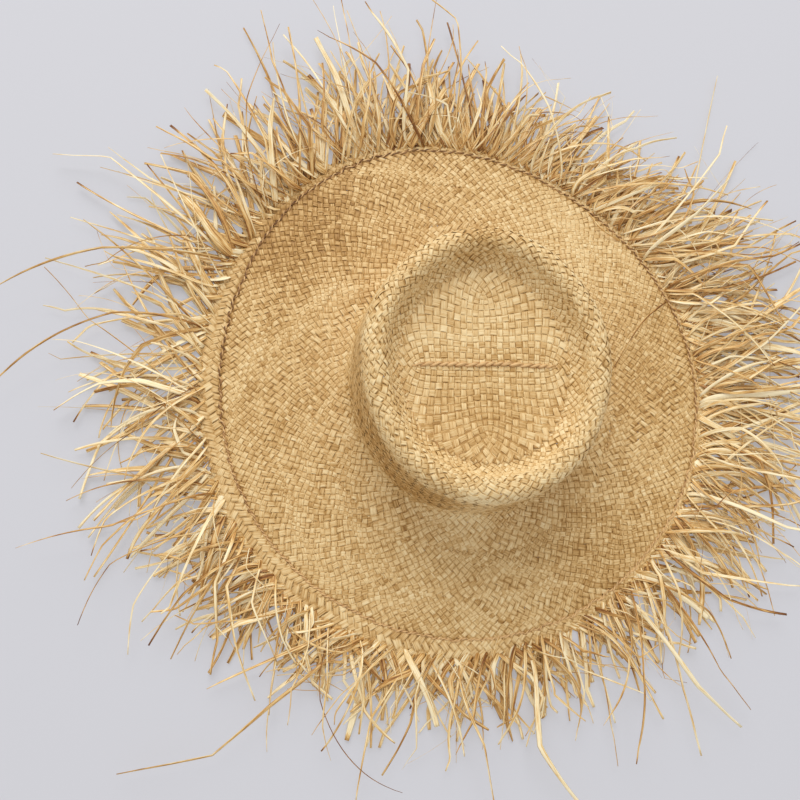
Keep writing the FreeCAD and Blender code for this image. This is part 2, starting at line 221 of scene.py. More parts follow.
def warp(points):
    """Moves points of an ideal hat to the slightly uneven real one."""
    x, y, z = points[..., 0], points[..., 1], points[..., 2]
    around = np.arctan2(y, x)
    radius = np.hypot(x, y)
    flare_end = 0.5 * (FOOT_SIDE + FOOT_LONG) + FLARE_OUT
    out = soften((radius - flare_end) / (ROW_OUT - FLARE_OUT))
    high = soften((z - FLARE_TOP) / (ridge_high.z - FLARE_TOP))
    sideways = CROWN_DENT * high * wave_sum(around, CROWN_WAVES)
    for turns, cosine, sine in EDGE_SWAY:
        sway = cosine * np.cos(turns * around) + sine * np.sin(turns * around)
        sideways = sideways + out * MM * sway
    scale = 1 + sideways / np.maximum(radius, SWAY_CORE)
    lift = (BRIM_LIFT * out - CROWN_DENT * high) * (0.5 + 0.5 * wave_sum(around, BRIM_WAVES))
    crest = RIDGE_OUT - RIDGE_RADIUS
    across, along = x / (FOOT_SIDE + crest), y / (FOOT_LONG + crest)
    inside = soften((1 - np.hypot(across, along)) / RAMP_FADE)
    ramp = RAMP_SHARE * soften((y - RAMP_START) / (RAMP_END - RAMP_START))
    lift = lift + inside * ramp * np.maximum(ridge_high.z - z, 0)
    return np.stack([x * scale, y * scale, z + lift], -1)


def ways_at(table, t):
    """The columns of a table that goes by degrees round the hat, at places round the oval."""
    _, _, out_x, out_y = oval_place(t)
    degrees = np.mod(np.degrees(np.arctan2(out_y, out_x)), 360)
    columns = np.array(table, float).T
    return [np.interp(degrees, columns[0], column) for column in columns[1:]]


def cloth_surface(t, s):
    """A point of the cloth's visible side: t round the oval, s along the section."""
    x, y, out_x, out_y = oval_place(t)
    along_out, along_up = (np.interp(s, section_s, section_along[:, axis]) for axis in (0, 1))
    pinch = ROW_PINCH * np.exp(-((s - S_ROW) / ROW_PINCH_WIDTH) ** 2)
    offset = offset_at(s) + along_up * pinch
    up = np.interp(s, section_s, section[:, 1]) - along_out * pinch
    return warp(np.stack([x + out_x * offset, y + out_y * offset, up], -1))


def cloth_place(t, s, height):
    """A point that stands off the cloth's middle by a height, and the way the cloth faces."""
    t, s, height = np.broadcast_arrays(t, s, height)
    here = cloth_surface(t, s)
    round_way = cloth_surface(t + NUDGE_ROUND, s) - here
    out_way = cloth_surface(t, s + NUDGE_OUT) - here
    upward = unit(np.cross(out_way, round_way))
    return here + upward * (height - FABRIC / 2)[..., None], upward


# ---- Meshes of many strands at once ----

# Outlines across a strand: (place across it, rise, share of its bow)
CLOTH_OUTLINE = np.array([
    (-1.0, 0.1, 0), (-0.74, 0.9, 0), (-0.34, 1.0, 0), (0.0, 0.35, 0), (0.34, 1.0, 0),
    (0.74, 0.9, 0), (1.0, 0.1, 0), (0.85, -0.9, 0), (-0.85, -0.9, 0),
])
LEAF_OUTLINE = np.array([
    (-1.0, 0.0, 0.0), (-0.68, 1.0, 0.5), (-0.32, 0.1, 0.9), (0.05, 1.0, 1.0), (0.42, 0.1, 0.85),
    (0.74, 1.0, 0.45), (1.0, 0.0, 0.0), (0.5, -0.9, 0.75), (-0.1, -0.4, 1.0), (-0.6, -0.9, 0.6),
])
ROUND_OUTLINE = np.array([
    (math.cos(TURN * corner / 8), math.sin(TURN * corner / 8), 0) for corner in range(8, 0, -1)
])
FIBRE_STRIDE = 3.7  # how far apart two strands lie in the noise of the fibres


def mesh_object(name, rings, marks, tone, material):
    """One closed tube for each strand. rings is (strand, step, corner, xyz)."""
    strands, steps, corners = rings.shape[:3]
    count = strands * steps * corners
    number = np.arange(count, dtype=np.int32).reshape(strands, steps, corners)
    here, there = number[:, :-1, :], number[:, 1:, :]
    sides = np.stack([here, np.roll(here, -1, 2), np.roll(there, -1, 2), there], -1).reshape(-1, 4)
    caps = np.concatenate([number[:, 0, ::-1], number[:, -1, :]]).reshape(-1, corners)
    corner_numbers = np.concatenate([sides.reshape(-1), caps.reshape(-1)])
    starts = np.concatenate([
        np.arange(len(sides)) * 4,
        len(sides) * 4 + np.arange(len(caps)) * corners,
    ])
    mesh = bpy.data.meshes.new(name)
    mesh.vertices.add(count)
    mesh.vertices.foreach_set("co", rings.reshape(-1).astype(np.float32))
    mesh.loops.add(len(corner_numbers))
    mesh.loops.foreach_set("vertex_index", corner_numbers.astype(np.int32))
    mesh.polygons.add(len(starts))
    mesh.polygons.foreach_set("loop_start", starts.astype(np.int32))
    mesh.polygons.foreach_set("use_smooth", np.ones(len(starts), bool))
    mesh.update(calc_edges=True)
    mesh.validate()
    fibre = mesh.attributes.new("fibre", "FLOAT_VECTOR", "POINT")
    fibre.data.foreach_set("vector", marks.reshape(-1).astype(np.float32))
    shade = mesh.attributes.new("tone", "FLOAT", "POINT")
    shade.data.foreach_set("value", tone.reshape(-1).astype(np.float32))
    mesh.materials.append(material)
    piece = bpy.data.objects.new(name, mesh)
    bpy.context.scene.collection.objects.link(piece)
    return piece


def strand_rings(centre, up, half_width, thickness, outline, seed, bow=0.0):
    """Sections across each strand, and the marks along its fibres in millimetres.

    centre and up are (strand, step, xyz), the other sizes are (strand, step).
    """
    along = unit(np.gradient(centre, axis=1))
    across = unit(np.cross(along, up))
    up = np.cross(across, along)
    side, rise, bowed = outline.T
    width_way = across[:, :, None, :] * (side * half_width[:, :, None])[..., None]
    raised = rise * thickness[:, :, None] * 0.5 + bowed * np.broadcast_to(bow, half_width.shape)[:, :, None]
    rings = centre[:, :, None, :] + width_way + up[:, :, None, :] * raised[..., None]
    step_length = np.linalg.norm(np.diff(centre, axis=1), axis=2)
    length = np.pad(np.cumsum(step_length, 1), ((0, 0), (1, 0)))
    marks = np.zeros(rings.shape)
    marks[..., 0] = length[:, :, None] / MM
    marks[..., 1] = side * half_width[:, :, None] / MM
    marks[..., 2] = (seed + np.arange(len(centre)))[:, None, None] * FIBRE_STRIDE
    return rings, marks


def finish_piece(piece):
    """Every piece of the hat rides on its one body."""
    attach(piece, "root")


# ---- Materials ----


def srgb(red, green, blue):
    """A colour given by its display values from 0 to 255, as linear RGBA."""
    def one(value):
        value /= 255
        return value / 12.92 if value <= 0.04045 else ((value + 0.055) / 1.055) ** 2.4
    return (one(red), one(green), one(blue), 1.0)


class Nodes:
    """A material's node tree with short ways to add and join nodes."""

    def __init__(self, name):
        self.material = bpy.data.materials.new(name)
        self.material.use_nodes = True
        self.tree = self.material.node_tree
        self.shader = self.tree.nodes["Principled BSDF"]

    def add(self, kind, values=None, **settings):
        """A new node. values are those of its inputs."""
        node = self.tree.nodes.new(kind)
        for key, value in settings.items():
            setattr(node, key, value)
        for key, value in (values or {}).items():
            node.inputs[key].default_value = value
        return node

    def join(self, output, target):
        """A link from a node's output to an input."""
        self.tree.links.new(output, target)

    def mark(self, name):
        """A mark that the mesh carries."""
        return self.add("ShaderNodeAttribute", attribute_name=name)

    def ramp(self, factor, stops):
        """Colours along a factor. stops are (place, red, green, blue) in display values."""
        node = self.add("ShaderNodeValToRGB")
        elements = node.color_ramp.elements
        while len(elements) < len(stops):
            elements.new(0.5)
        for element, (place, *colour) in zip(elements, stops):
            element.position = place
            element.color = srgb(*colour)
        self.join(factor, node.inputs["Fac"])
        return node.outputs["Color"]

    def maths(self, operation, first, second):
        """A sum or product of two values, each a number or a node's output."""
        node = self.add("ShaderNodeMath", operation=operation)
        for slot, value in enumerate((first, second)):
            if isinstance(value, (int, float)):
                node.inputs[slot].default_value = value
            else:
                self.join(value, node.inputs[slot])
        return node.outputs["Value"]

    def streaks(self, along, across, detail, roughness):
        """Noise drawn out along the fibres, with its scale in cells for each millimetre."""
        stretch = self.add("ShaderNodeVectorMath", operation="MULTIPLY")
        stretch.inputs[1].default_value = (along, across, 1.0)
        self.join(self.mark("fibre").outputs["Vector"], stretch.inputs[0])
        noise = self.add("ShaderNodeTexNoise", {"Scale": 1.0, "Detail": detail, "Roughness": roughness})
        self.join(stretch.outputs["Vector"], noise.inputs["Vector"])
        return noise.outputs["Fac"]

    def paint(self, factor, stops, roughness):
        """The surface's colour, from a ramp, and its roughness."""
        self.join(self.ramp(factor, stops), self.shader.inputs["Base Color"])
        self.shader.inputs["Roughness"].default_value = roughness

    def relief(self, height, strength, distance):
        """Bumps in the surface."""
        bump = self.add("ShaderNodeBump", {"Strength": strength, "Distance": distance})
        self.join(height, bump.inputs["Height"])
        self.join(bump.outputs["Normal"], self.shader.inputs["Normal"])


# The noises of raffia: cells for each millimetre along and across the fibres, and detail
COARSE_FIBRES = (0.05, 0.9, 2.0)
FINE_FIBRES = (0.08, 3.0, 3.0)
PATCHES = (0.09, 0.12, 2.0)
TONE_SHARE = 0.2  # how far a tint of 1 moves the colour along its ramp


def raffia_material(name, shades, roughness=0.55, contrast=1.0):
    """Dry split palm leaf: coarse and fine fibres along it, and every strand its own tint."""
    nodes = Nodes(name)
    coarse, fine, patches = (nodes.streaks(*noise, 0.6) for noise in (COARSE_FIBRES, FINE_FIBRES, PATCHES))
    mixed = nodes.maths("MULTIPLY", nodes.mark("tone").outputs["Fac"], TONE_SHARE)
    mixed = nodes.maths("ADD", mixed, 0.5)
    for noise, share in ((coarse, 0.75 * contrast), (fine, 0.7 * contrast), (patches, 0.35)):
        swing = nodes.maths("MULTIPLY", nodes.maths("SUBTRACT", noise, 0.5), share)
        mixed = nodes.maths("ADD", mixed, swing)
    nodes.paint(mixed, shades, roughness)
    nodes.shader.inputs["Specular IOR Level"].default_value = 0.4
    nodes.relief(nodes.maths("ADD", coarse, nodes.maths("MULTIPLY", fine, 0.5)), 0.5, 0.5 * MM)
    return nodes.material


def ribbon_material():
    """Cotton grosgrain: fine threads across the ribs, which are in the mesh."""
    nodes = Nodes("cotton_ribbon")
    threads = nodes.streaks(1.6, 5.0, 3.0, 0.5)
    nodes.paint(threads, [(0.3, 206, 188, 152), (0.5, 222, 206, 172), (0.7, 234, 221, 192)], 0.78)
    nodes.relief(threads, 0.3, 0.2 * MM)
    return nodes.material


def thread_material():
    """Twisted cotton thread."""
    nodes = Nodes("cotton_thread")
    twist = nodes.add("ShaderNodeTexWave", {"Scale": 1.2, "Distortion": 0.6}, bands_direction="DIAGONAL")
    nodes.join(nodes.mark("fibre").outputs["Vector"], twist.inputs["Vector"])
    nodes.paint(twist.outputs["Fac"], [(0.2, 206, 190, 160), (0.8, 240, 230, 208)], 0.7)
    return nodes.material


plait_material = raffia_material("raffia_plait", [
    (0.04, 146, 104, 46), (0.26, 186, 144, 82), (0.42, 214, 178, 120), (0.58, 231, 202, 149),
    (0.80, 243, 222, 176),
])
strand_material = raffia_material("raffia_strand", [
    (0.04, 120, 72, 24), (0.24, 184, 132, 66), (0.42, 216, 172, 104), (0.62, 238, 206, 144),
    (0.86, 252, 238, 200),
], roughness=0.5, contrast=2.0)
twine_material = raffia_material("raffia_twining", [
    (0.16, 98, 62, 28), (0.46, 168, 124, 74), (0.76, 222, 184, 130),
])

# ---- Round plain weave: strands that climb left and right across each other ----

CROSSING_STEPS = np.array([0.0, 0.3, 0.5, 0.7])  # where a strand is shaped between crossings
STRAND_THICKNESS = 0.3 * MM
OVER_HEIGHT = 0.36 * MM  # how far a strand stands off the cloth's middle at a crossing
PILLOW = 1.5  # how flat a strand lies where it shows, between its two dives
SHOWN_WIDTH = 0.92  # a strand's width against the room it has, where it lies on top
HIDDEN_WIDTH = 1.32  # the same where it passes under another
END_DIVE = 0.8  # over how many crossings a strand dives under at its two ends
END_DEPTH = 0.35 * MM
EDGE_SHIFT = 0.09  # how far the line between two strands may lie aside, in their widths
EDGE_RIPPLE = 0.03  # how far it swings to and fro, and how often at each crossing
EDGE_RIPPLES = (0.09, 0.21, 0.37)
# The slow wander of all strands together: waves round the hat, turn at each row
WANDER = 0.16  # how far, in the room between two strands
WANDER_WAVES = ((3, 0.5), (7, 0.9), (13, 1.5))
# How far the plait goes on outside the twined row: degrees round the hat, millimetres
MARGIN_WAYS = (
    (0, 4), (30, 3), (60, 3), (105, 5), (130, 10), (155, 17), (185, 21), (240, 22), (265, 20),
    (285, 14), (305, 8), (330, 5), (360, 4),
)
BARE_MARGIN = 3.5 * MM  # the outermost margin, where the strands are no longer crossed
RIDGE_HALF = 13 * MM  # how far the ridge reaches to either side of its crest
RIDGE_CROWDING = 0.4  # how much closer the rows lie on the ridge
RIDGE_RELIEF = 0.25  # how much more the strands stand out on the ridge
RIDGE_NARROWING = 0.28  # how much narrower the strands of one hand lie there
S_WALL = S_RIDGE + RIDGE_HALF  # where the wall's top begins

# A tint of 0 is middling straw colour, -2.5 the darkest that there is and 2.5 the palest
STRAND_TINT = 0.26  # how much whole strands differ, and each stretch that a strand shows
SHOWN_TINT = 0.13
# Painted shade: strands are painted darker where they dive under one another and along their edges, in the
# crevices of the plait
GAP_PAINTED_SHADE = -0.8  # where a strand dives under another
EDGE_PAINTED_SHADE = -0.4  # along a strand's two edges
# painted shade in the groove beside the twined row
ROW_PAINTED_SHADE = -1.9  # the groove along the twined row
GROOVE_INSIDE = 0.7 * MM  # how far inside the row's middle its groove lies
# painted shade on the wall's foot at the hat's front, away from the key light
WALL_PAINTED_SHADE = -1.15  # the wall's foot at the hat's front
WALL_FADE = 12 * MM  # over which length that sets in under the ridge
FLARE_FADE = 8 * MM  # and how far to either side of the flare's top it fades out
# How much darker the painted shade in the gaps is on the ridge, on the steep side of the recess and on the
# wall
RIDGE_DEPTH = 0.25
RECESS_DEPTH = 0.5
WALL_DEPTH = 0.9
DEPTH_FADE = 8 * MM  # over which length that sets in
# Darker and paler places of the cloth: degrees round the hat, distance from its axis and
# reach in millimetres, and tint. Three are painted light and shade: a painted highlight on
# the brim beside the crown's left (150 degrees), painted shade on the ridge at the hat's
# back (92 degrees) and a painted highlight on the ridge at its front (268 degrees, 98 mm).
# The others darken or lighten patches of the brim and of the tip's front.
TINTED_AND_SHADED_PLACES = (
    (138, 168, 56, -1.1), (150, 124, 22, 0.6), (98, 158, 40, -0.3), (2, 152, 50, -0.6),
    (186, 160, 46, -0.3), (312, 165, 50, -0.4), (52, 150, 42, 0.3), (268, 42, 36, -0.85),
    (92, 92, 17, -1.1), (268, 98, 18, 1.2),
)


def over_under(k):
    """Height pattern of a strand that goes over at even crossings and under at odd ones."""
    return np.tanh(PILLOW * np.cos(math.pi * k)) / math.tanh(PILLOW)


def on_ridge(s):
    """1 on the ridge's crest and 0 away from it."""
    return np.exp(-((s - S_RIDGE) / RIDGE_HALF) ** 4)


def row_rate(s):
    """Rows of crossings in the room that one strand has round the hat."""
    return 1 + RIDGE_CROWDING * on_ridge(s)


def rows_along(count, s_first, s_last):
    """How many rows of crossings lie between two lengths, as a function of length."""
    s = np.arange(s_first, s_last, SECTION_STEP)
    rows = np.cumsum(row_rate(s) * count / round_at(offset_at(s))) * SECTION_STEP
    return s, rows - rows[0]


def stretch_margin(t, s):
    """Where a row really lies on the wide or narrow margin, and how far that is stretched."""
    usual = S_MARGIN - BARE_MARGIN - S_ROW
    stretch = ways_at(MARGIN_WAYS, t)[0] * MM / usual
    outside = np.maximum(s - S_ROW, 0)
    return s + outside * (stretch - 1), 1 + (stretch - 1) * soften(outside / MM)


def crossing_steps(crossings):
    """Where each strand is shaped, counted in crossings from its start."""
    whole = np.arange(crossings)[:, None] + CROSSING_STEPS
    return np.append(whole.reshape(-1), crossings)


def edge_jitter(draws, count, k):
    """Sideways shifts of the lines between neighbouring strands, closed round the hat."""
    shift = draws.uniform(-EDGE_SHIFT, EDGE_SHIFT, (count, 1)) + np.zeros_like(k)
    for turns in EDGE_RIPPLES:
        shift = shift + EDGE_RIPPLE * np.sin(TURN * (k * turns + draws.uniform(0, 1, (count, 1))))
    return np.concatenate([shift, shift[:1]])


def float_tones(draws, count, crossings, k, hand):
    """A tint for each strand and a smaller one for each stretch that it shows."""
    shown = np.floor((k + 1 - (hand < 0)) / 2).astype(int)
    tint = draws.normal(0, SHOWN_TINT, (count, crossings + 3))
    return draws.normal(0, STRAND_TINT, (count, 1)) + tint[:, shown[0]]


def wandered(p, row, count, seed):
    """Crossings moved a little off the even lines, in the same way for both hands."""
    draws = np.random.default_rng(seed)
    around = TURN * p / count
    for turns, rate in WANDER_WAVES:
        phase = draws.uniform(0, TURN, 2)
        p = p + WANDER * np.sin(turns * around + rate * row + phase[0])
        row = row + WANDER * np.sin((turns + 2) * around - rate * row + phase[1])
    return p, row


def place_tint_and_shade(points):
    """The tint that the cloth has at points: painted light and shade on the ridge and beside the crown, and
    darker and paler patches elsewhere.
    """
    tint = np.zeros(points.shape[:-1])
    for degrees, distance, reach, amount in TINTED_AND_SHADED_PLACES:
        x = distance * MM * math.cos(math.radians(degrees))
        y = distance * MM * math.sin(math.radians(degrees))
        away = np.hypot(points[..., 0] - x, points[..., 1] - y) / (reach * MM)
        tint += amount * np.exp(-away ** 2)
    return tint


def plait_width(shown, narrowing=0.0):
    """A strand's width against its room. shown is 1 on top and -1 where it passes under."""
    hidden = soften((0.4 - shown) / 0.8)
    return SHOWN_WIDTH * (1 - narrowing) * (1 - hidden) + HIDDEN_WIDTH * hidden


def row_seen(t):
    """How clearly the twined row stands out: 1 at the hat's back and 0 at its front."""
    return soften(0.75 + 0.8 * np.sin(TURN * t))


def row_groove_shade(t, s):
    """Painted shade in the groove that the twined row sits in, on the row's inner side, strongest at the
    hat's back.
    """
    away = (s - S_ROW + GROOVE_INSIDE) / ROW_PINCH_WIDTH
    return ROW_PAINTED_SHADE * (0.2 + 0.8 * row_seen(t)) * np.exp(-away ** 2)


def painted_wall_shade(t, s):
    """Painted shade on the wall's foot at the hat's front, the side turned away from the key light, which
    fades out on the flare.
    """
    front = soften(0.5 - 0.5 * np.sin(TURN * t))
    foot = soften((s - S_WALL) / WALL_FADE) * soften((S_FLARE + FLARE_FADE - s) / (2 * FLARE_FADE))
    return WALL_PAINTED_SHADE * front * foot


def gap_shade_depth(s):
    """How dark the painted shade in the gaps between strands is, against that of the brim."""
    in_recess = soften((S_RIDGE - RIDGE_HALF / 2 - s) / DEPTH_FADE)
    on_wall = soften((s - S_WALL) / DEPTH_FADE) * soften((S_FLARE - s) / DEPTH_FADE)
    return 1 + RIDGE_DEPTH * on_ridge(s) + RECESS_DEPTH * in_recess + WALL_DEPTH * on_wall


def plaited_piece(name, centre, upward, room, shown, tones, thickness, seed, depth=1.0, narrowing=0.0):
    """Plaited strands as a piece, with painted shade along their edges and where they dive.

    room is how much room each strand has across, shown is as for the width, and depth is
    how dark the painted shade in the gaps is against the usual.
    """
    half_width = 0.5 * room * plait_width(shown, narrowing)
    rings, marks = strand_rings(centre, upward, half_width, thickness, CLOTH_OUTLINE, seed)
    # Painted light and shade from the listed places, and painted shade where a strand dives and, below,
    # along its edges
    tones = tones + place_tint_and_shade(centre) + GAP_PAINTED_SHADE * depth * soften((0.7 - shown) / 0.9)
    edge = np.abs(CLOTH_OUTLINE[:, 0]) == 1.0
    tone = tones[:, :, None] + (EDGE_PAINTED_SHADE * depth + np.zeros_like(tones))[:, :, None] * edge
    piece = mesh_object(name, rings, marks, tone, plait_material)
    finish_piece(piece)
    return piece


def weave_family(name, count, reach, hand, seed, shade, share, fullness=1.0, relief=1.0):
    """The strands of a round weave that lean one way, hand +1 or -1, as a piece.

    reach is the stretch of the section that they cover, and share the part of the way
    round the hat. fullness and relief are their width and how far they stand out, against
    the usual.
    """
    draws = np.random.default_rng(seed + hand)
    s_rows, rows = rows_along(count, *reach)
    crossings = int(rows[-1] * 2)
    k = crossing_steps(crossings)[None, :]
    shift = edge_jitter(draws, count, k)
    tones = float_tones(draws, count, crossings, k, hand)
    thickness = STRAND_THICKNESS * draws.uniform(0.85, 1.2, (count, 1)) + np.zeros_like(k)
    middle = 0.5 * (shift[:-1] + shift[1:])
    width = 1 + shift[1:] - shift[:-1]
    mine = slice(int(count * share[0]), int(count * share[1]))
    tones, thickness, middle, width = (part[mine] for part in (tones, thickness, middle, width))
    # p counts strands round the hat and row counts rows of crossings along the section
    p = np.arange(mine.start, mine.stop)[:, None] + hand * k / 2 + middle / 2
    row = k / 2 - hand * middle / 2
    p, row = wandered(p, row, count, seed)
    s = np.interp(row, rows, s_rows)
    rate = row_rate(s)
    t = p / count
    s, stretch = stretch_margin(t, s)
    rate = rate / np.maximum(stretch, 1)
    dive = soften((crossings - k) / END_DIVE) * soften(k / END_DIVE)
    shown = hand * over_under(k) + np.zeros_like(p)
    height = OVER_HEIGHT * relief * (1 + RIDGE_RELIEF * on_ridge(s)) * shown * dive
    centre, upward = cloth_place(t, s, height - END_DEPTH * (1 - dive))
    room = width * fullness * round_at(offset_at(s)) / count / np.sqrt(1 + rate ** 2)
    narrowing = RIDGE_NARROWING * on_ridge(s) * (hand < 0)
    # Painted light and shade: the ring's tint, the groove beside the twined row and the wall's front foot
    tones = tones + shade + row_groove_shade(t, s) + painted_wall_shade(t, s)
    return plaited_piece(name, centre, upward, room, shown, tones, thickness, seed, gap_shade_depth(s), narrowing)


# ---- The tip: level rows and upright strands in the middle, which turn into the round weave ----

TIP_HALF = 12  # strands each way from the middle of the tip
TIP_ROUND = 4 * TIP_HALF
TIP_LEVELS = 6  # rows of crossings outside the diamond in the middle
TIP_HALF_SIDE = tip_row_high.x  # half sizes of the diamond
TIP_HALF_LONG = tip_high.y * 0.68
TIP_LAP = 1.5 * MM  # how far the tip's strands run under the recess's
# painted light: the tip's strands are painted paler than the brim's, though they are the same straw
TIP_PAINTED_LIGHT = 0.1  # tint of the tip's strands
TIP_WANDER = 0.22 * MM
TIP_END_DEPTH = 0.5 * MM
SETTLING = 60  # rounds of evening out the crossings


def diamond_site(turn):
    """The crossing at a corner-to-corner count round the diamond's edge."""
    quarter, rest = divmod(turn % TIP_ROUND, TIP_HALF)
    near, far = rest + 0.5, TIP_HALF - 0.5 - rest
    return [(far, near), (-near, far), (-far, -near), (near, -far)][quarter]


def diamond_place(site):
    """Where a crossing of the diamond lies."""
    return np.array(site) * (TIP_HALF_SIDE / TIP_HALF, TIP_HALF_LONG / TIP_HALF)


def rim_place(turn):
    """The point of the tip's outer edge at a count round it."""
    x, y, out_x, out_y = oval_place((turn + 0.5) / TIP_ROUND)
    offset = TIP_OUT + TIP_LAP
    return np.array([x + out_x * offset, y + out_y * offset])


def tip_lines():
    """Every strand of the tip: the crossings that it passes, and 1 if it is over at the first."""
    def outward(turn, hand):
        """Crossings from the diamond's edge outwards, of the strand that leans by hand."""
        drift = 0 if hand > 0 else 1
        return [("rim", (turn - drift * level) % TIP_ROUND, level) for level in range(1, TIP_LEVELS + 1)]

    ends = {}
    for turn in range(TIP_ROUND):
        across, up = diamond_site(turn)
        upright_leans = 1 if across * up > 0 else -1
        ends["upright", across, up > 0] = outward(turn, upright_leans)
        ends["level", up, across > 0] = outward(turn, -upright_leans)
    lines = []
    places = [number + 0.5 for number in range(-TIP_HALF, TIP_HALF)]
    for fixed in places:
        inside = [moving for moving in places if abs(moving) + abs(fixed) <= TIP_HALF]
        upright = [("in", fixed, moving) for moving in inside]
        level = [("in", moving, fixed) for moving in inside]
        over_first = (int(fixed - 0.5) + int(inside[0] - 0.5)) % 2 == 1
        for kind, middle in (("upright", upright), ("level", level)):
            before, after = ends[kind, fixed, False], ends[kind, fixed, True]
            sign = 1 if over_first == (kind == "upright") else -1
            lines.append((before[::-1] + middle + after, sign * (-1) ** len(before)))
    return lines


def first_place(site):
    """Where a crossing of the tip lies before the crossings are evened out."""
    if site[0] == "in":
        return diamond_place(site[1:])
    _, turn, level = site
    share = level / TIP_LEVELS
    inner = 0.5 * (diamond_place(diamond_site(turn)) + diamond_place(diamond_site(turn + level)))
    return inner * (1 - share) + rim_place(turn + level / 2) * share


def settle_sites(lines):
    """Places of all crossings, evened out along the strands with the rim held."""
    place = {site: first_place(site) for sites, _ in lines for site in sites}
    number = {site: index for index, site in enumerate(place)}
    points = np.array(list(place.values()))
    pairs = [(number[a], number[b]) for sites, _ in lines for a, b in zip(sites, sites[1:])]
    pairs = np.array(pairs + [(b, a) for a, b in pairs])
    held = np.array([site[0] == "rim" and site[2] == TIP_LEVELS for site in place])[:, None]
    count = np.bincount(pairs[:, 0], minlength=len(points))[:, None]
    for _ in range(SETTLING):
        total = np.zeros_like(points)
        np.add.at(total, pairs[:, 0], points[pairs[:, 1]])
        points = np.where(held, points, 0.5 * points + 0.5 * total / count)
    return {site: points[index] for site, index in number.items()}


def spacing_at_sites(lines, place):
    """For each strand, the room it has at each crossing, from the strands beside it."""
    beside = {}
    for line, (sites, _) in enumerate(lines):
        for index, site in enumerate(sites):
            near = [place[other] for other in sites[max(index - 1, 0):index + 2]]
            step = np.linalg.norm(near[-1] - near[0]) / (len(near) - 1)
            beside.setdefault(site, {})[line] = step
    room = []
    for line, (sites, _) in enumerate(lines):
        found = [[step for other, step in beside[site].items() if other != line] for site in sites]
        usual = np.mean([steps[0] for steps in found if steps])
        room.append(np.array([steps[0] if steps else usual for steps in found]))
    return room


def curve_through(points, places):
    """Catmull-Rom curve through the points, read at places from 0 to their count less 1."""
    padded = np.concatenate([2 * points[:1] - points[1:2], points, 2 * points[-1:] - points[-2:-1]])
    start = np.clip(places.astype(int), 0, len(points) - 2)
    x = (places - start)[:, None]
    a, b, c, d = (padded[start + shift] for shift in range(4))
    square = 2 * a - 5 * b + 4 * c - d
    cube = 3 * b - a - 3 * c + d
    return 0.5 * (2 * b + (c - a) * x + square * x ** 2 + cube * x ** 3)


def tip_height(x, y):
    """Height of the cloth's middle inside the recess."""
    side, long = FOOT_SIDE + TIP_OUT, FOOT_LONG + TIP_OUT
    offset = TIP_OUT + (np.hypot(x / side, y / long) - 1) * (side + long) / 2
    inner = section_s < S_TIP_EDGE + 4 * MM
    return np.interp(offset, section[inner, 0], section[inner, 1]) - FABRIC / 2


def straight_up(points):
    """The upward direction for each of the points."""
    up = np.zeros_like(points)
    up[..., 2] = 1.0
    return up


def make_tip():
    """The cloth of the tip."""
    draws = np.random.default_rng(31)
    lines = tip_lines()
    place = settle_sites(lines)
    room = spacing_at_sites(lines, place)
    steps = len(crossing_steps(2 * TIP_HALF + 2 * TIP_LEVELS - 1))
    centre = np.zeros((len(lines), steps, 3))
    width, tones, shown = (np.zeros((len(lines), steps)) for _ in range(3))
    for line, (sites, sign) in enumerate(lines):
        places = crossing_steps(len(sites) - 1)
        places = np.interp(np.linspace(0, 1, steps), np.linspace(0, 1, len(places)), places)
        way = curve_through(np.array([place[site] for site in sites]), places)
        wander = TIP_WANDER * np.sin(0.8 * places + draws.uniform(0, TURN))
        ends = soften(places / END_DIVE) * soften((len(sites) - 1 - places) / END_DIVE)
        shown[line] = sign * over_under(places)
        height = FABRIC / 2 + OVER_HEIGHT * shown[line] * ends - TIP_END_DEPTH * (1 - ends)
        aside = np.abs(way[-1, ::-1] - way[0, ::-1]) / np.ptp(way, 0).max()
        centre[line, :, :2] = way + wander[:, None] * aside
        centre[line, :, 2] = tip_height(way[:, 0], way[:, 1]) + height
        width[line] = np.interp(places, np.arange(len(sites)), room[line])
        tint = draws.normal(0, 0.2, len(sites) + 2)
        tones[line] = draws.normal(0, 0.28) + tint[np.floor((places + 1) / 2).astype(int)]
    centre = warp(centre)
    thickness = np.full_like(width, STRAND_THICKNESS)
    tones = tones + TIP_PAINTED_LIGHT
    piece = plaited_piece("tip_strands", centre, straight_up(centre), width, shown, tones, thickness, 5000)
    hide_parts("crown_tip")


# ---- Crown and brim ----

# The rings of the crown's weave: CAD node, strands each way, and how wide and how raised
# the strands are against the usual. Those of the wall lie closer and flatter.
CROWN_RINGS = (
    ("crown_recess", 84, 1.0, 1.0),
    ("crown_ridge", 76, 1.0, 1.0),
    ("crown_wall", 84, 1.14, 0.75),
)
CROWN_LAP = 3.4 * MM  # how far each ring runs under the next
# painted light: the crown's strands are painted paler than the brim's, though they are the same straw
CROWN_PAINTED_LIGHT = 0.25  # tint of the crown's strands
# The rings of the brim's weave: strands each way, how far out it begins as a share of the
# brim, and how many pieces each half of it is split into
BRIM_RINGS = ((116, 0.0, 1), (156, 0.30, 1), (200, 0.60, 2))
BRIM_LAP = 2.2 * MM
# painted shade: the brim's strands are painted a little darker than the crown's
BRIM_PAINTED_SHADE = -0.1
HANDS = (("right", 1), ("left", -1))


def make_crown():
    """The cloth of the recess, the ridge and the wall, each a weave of two families."""
    starts = (S_TIP_EDGE, S_RIDGE - RIDGE_HALF, S_WALL, S_FLARE)
    for ring, (node, count, fullness, relief) in enumerate(CROWN_RINGS):
        reach = (starts[ring] - CROWN_LAP, starts[ring + 1] + CROWN_LAP)
        for side, hand in HANDS:
            name = f"{node}_strands_{side}"
            piece = weave_family(name, count, reach, hand, 11 + ring, CROWN_PAINTED_LIGHT, (0, 1), fullness, relief)
            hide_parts(node)


